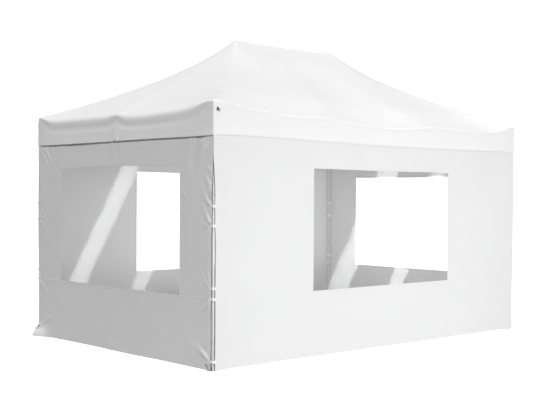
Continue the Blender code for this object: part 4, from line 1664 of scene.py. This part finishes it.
def mirrored_strip(name, side, corners, films, stage):
    """A strip light that a window mirrors into the camera between four points of the picture."""
    right, up, forward = camera_axes(stage)
    eye = Vector(stage.camera_place)
    normal = side.out
    plane = side.plane - PANE_DEPTH
    mirrored_eye = eye - normal * (2 * (eye.dot(normal) - plane))
    places = []
    for px, py in corners:
        sideways = (px - PICTURE_WIDTH / 2) / stage.focal_pixels
        upwards = (PICTURE_HEIGHT / 2 - py) / stage.focal_pixels
        ray = forward + right * sideways + up * upwards
        on_pane = eye + ray * ((plane - eye.dot(normal)) / ray.dot(normal))
        away = (on_pane - mirrored_eye).normalized()
        places.append((on_pane, away))
    middle = sum((pane for pane, _ in places), Vector()) / 4
    away = sum((direction for _, direction in places), Vector()).normalized()
    centre = middle + away * STRIP_DISTANCE
    spots = [
        pane + direction * ((centre - pane).dot(away) / direction.dot(away)) for pane, direction in places
    ]
    bottom, top = (spots[0] + spots[1]) / 2, (spots[2] + spots[3]) / 2
    along = (top - bottom).normalized()
    across = along.cross(away).normalized()
    width = (abs((spots[1] - spots[0]).dot(across)) + abs((spots[2] - spots[3]).dot(across))) / 2
    matrix = turned(across, along, away, (bottom + top) / 2)
    strength = stage.strip_light * (SHORT_SIDE_STRIPS if side.half == HALF_WIDTH else 1.0)
    obj = area_light(name, matrix, STRIP_WIDTH * width, (top - bottom).length, strength)
    obj.visible_diffuse = False
    obj.visible_volume_scatter = False
    obj.light_linking.receiver_collection = films


class TENT_OT_stage(Operator):
    """Set up the floor, the backdrop, the lights and the camera"""

    bl_idname = "tent.stage"
    bl_label = "Stage"

    def execute(self, context):
        scene = context.scene
        stage = scene.tent_stage
        scene.view_settings.view_transform = "Standard"
        scene.view_settings.look = "None"
        self.backdrop(scene, stage)
        floor = self.floor(stage)
        self.camera(scene, stage)
        self.lights(stage, floor)
        return {"FINISHED"}

    def backdrop(self, scene, stage):
        """White to the camera, a dim sky to everything else."""
        world = bpy.data.worlds.new("Studio")
        scene.world = world
        world.use_nodes = True
        nodes, links = world.node_tree.nodes, world.node_tree.links
        sky = nodes["Background"]
        sky.inputs["Strength"].default_value = stage.sky
        sky.inputs["Color"].default_value = (1.0, 1.0, 1.0, 1.0)
        white = nodes.new("ShaderNodeBackground")
        white.inputs["Color"].default_value = (1.0, 1.0, 1.0, 1.0)
        white.inputs["Strength"].default_value = stage.backdrop
        path = nodes.new("ShaderNodeLightPath")
        mix = nodes.new("ShaderNodeMixShader")
        links.new(path.outputs["Is Camera Ray"], mix.inputs[0])
        links.new(sky.outputs["Background"], mix.inputs[1])
        links.new(white.outputs["Background"], mix.inputs[2])
        links.new(mix.outputs["Shader"], nodes["World Output"].inputs["Surface"])

    def floor(self, stage):
        """A pale floor that reaches the horizon."""
        shade = (stage.floor_shade,) * 3
        finish = Finish("floor", shade, 0.9, {"Specular IOR Level": 0.0})
        finish.tint(finish.noise(0.7, 2.0), shade, 0.99, 1.01)
        finish.feed("Emission Color", (1.0, 1.0, 1.0, 1.0))
        seen = finish.add("ShaderNodeLightPath").outputs["Is Camera Ray"]
        finish.feed("Emission Strength", finish.between(seen, 0.0, stage.backdrop))
        corners = ((-1, -1), (1, -1), (1, 1), (-1, 1))
        points = [Vector((sx * FLOOR_HALF, sy * FLOOR_HALF, 0)) for sx, sy in corners]
        uvs = [(point.x, point.y) for point in points]
        floor = mesh_object("floor", points, [(0, 1, 2, 3)], uvs, finish.material)
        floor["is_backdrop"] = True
        return floor

    def camera(self, scene, stage):
        """The camera at the photographed angle."""
        right, up, forward = camera_axes(stage)
        data = bpy.data.cameras.new("Camera")
        data.sensor_width = 36.0
        data.sensor_fit = "HORIZONTAL"
        data.lens = stage.focal_pixels * data.sensor_width / PICTURE_WIDTH
        data.clip_end = 300.0
        obj = link(bpy.data.objects.new("Camera", data))
        obj.matrix_world = turned(right, up, -forward, Vector(stage.camera_place))
        scene.camera = obj

    def lights(self, stage, floor):
        """Light from above and the left, a low softbox in front, two inside and the mirrored strips."""
        spared = bpy.data.collections.new("Spared")
        spared.objects.link(floor)
        spared.collection_objects[0].light_linking.link_state = "EXCLUDE"
        for name, strength, turn, width, receivers in (
            ("Overhead", stage.sun, (0.0, 0.0, 0.0), 0.8, None),
            ("Side", stage.side_sun, (0.0, -stage.side_tilt, 0.0), 4.0, spared),
            ("High front", stage.front_sun, (stage.front_tilt, 0.0, 0.0), 4.0, spared),
        ):
            data = bpy.data.lights.new(name, "SUN")
            data.energy = strength * pi
            data.angle = radians(width)
            sun = link(bpy.data.objects.new(name, data))
            sun.rotation_euler = turn
            sun.light_linking.receiver_collection = receivers
        x, y = Vector((1, 0, 0)), Vector((0, 1, 0))
        for name, facing_away, up, place, size, strength in (
            ("Front softbox", -y, UP, FRONT_SOFTBOX_PLACE, FRONT_SOFTBOX_SIZE, stage.front_light),
            ("Inside ceiling", UP, y, (0.0, 0.0, 1.88), INSIDE_SOFTBOX_SIZE, stage.inside_light),
            ("Inside floor", -UP, -y, (0.0, 0.0, 0.25), INSIDE_SOFTBOX_SIZE, stage.inside_light),
        ):
            area_light(name, turned(x, up, facing_away, Vector(place)), *size, strength)
        films = bpy.data.collections.new("Films")
        for name in SIDES:
            films.objects.link(bpy.data.objects[f"{name}_window_film"])
        for title, side, streaks in (("Left", "left", LEFT_STREAKS), ("Right", "front", RIGHT_STREAKS)):
            for number, corners in enumerate(streaks, 1):
                mirrored_strip(f"{title} strip {number}", SIDES[side], corners, films, stage)


class TENT_PT_panel(Panel):
    """The tent's settings and makers"""

    bl_label = "Marquee tent"
    bl_idname = "TENT_PT_panel"
    bl_space_type = "VIEW_3D"
    bl_region_type = "UI"
    bl_category = "Tent"

    def draw(self, context):
        for title, name in SETTINGS:
            box = self.layout.box()
            box.label(text=title)
            group = getattr(context.scene, name)
            for key in group.__annotations__:
                box.prop(group, key)
        for maker in MAKERS:
            self.layout.operator(maker.bl_idname)


SETTINGS = (
    ("Cloth", "tent_cloth"), ("Windows", "tent_window"), ("Trim", "tent_trim"), ("Stage", "tent_stage"),
)
GROUPS = (ClothSettings, WindowSettings, TrimSettings, StageSettings)
MAKERS = (
    TENT_OT_canopy, TENT_OT_walls, TENT_OT_windows, TENT_OT_canopy_seams, TENT_OT_wall_seams,
    TENT_OT_straps, TENT_OT_fittings, TENT_OT_rivets, TENT_OT_frame, TENT_OT_stage,
)


def register():
    """Register the settings, the makers and the panel."""
    for cls in GROUPS + MAKERS + (TENT_PT_panel,):
        bpy.utils.register_class(cls)
    for (_, name), group in zip(SETTINGS, GROUPS):
        setattr(bpy.types.Scene, name, PointerProperty(type=group))


def unregister():
    """Take back what register added."""
    for _, name in SETTINGS:
        delattr(bpy.types.Scene, name)
    for cls in reversed(GROUPS + MAKERS + (TENT_PT_panel,)):
        bpy.utils.unregister_class(cls)


def main():
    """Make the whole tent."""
    register()
    bpy.ops.tent.canopy()
    bpy.ops.tent.walls()
    bpy.ops.tent.windows()
    bpy.ops.tent.canopy_seams()
    bpy.ops.tent.wall_seams()
    bpy.ops.tent.straps()
    bpy.ops.tent.fittings()
    bpy.ops.tent.rivets()
    bpy.ops.tent.frame()
    bpy.ops.tent.stage()
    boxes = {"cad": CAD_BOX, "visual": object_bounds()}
    sizes = {name: [list(corner) for corner in box] for name, box in boxes.items()}


if __name__ == "__main__":
    main()
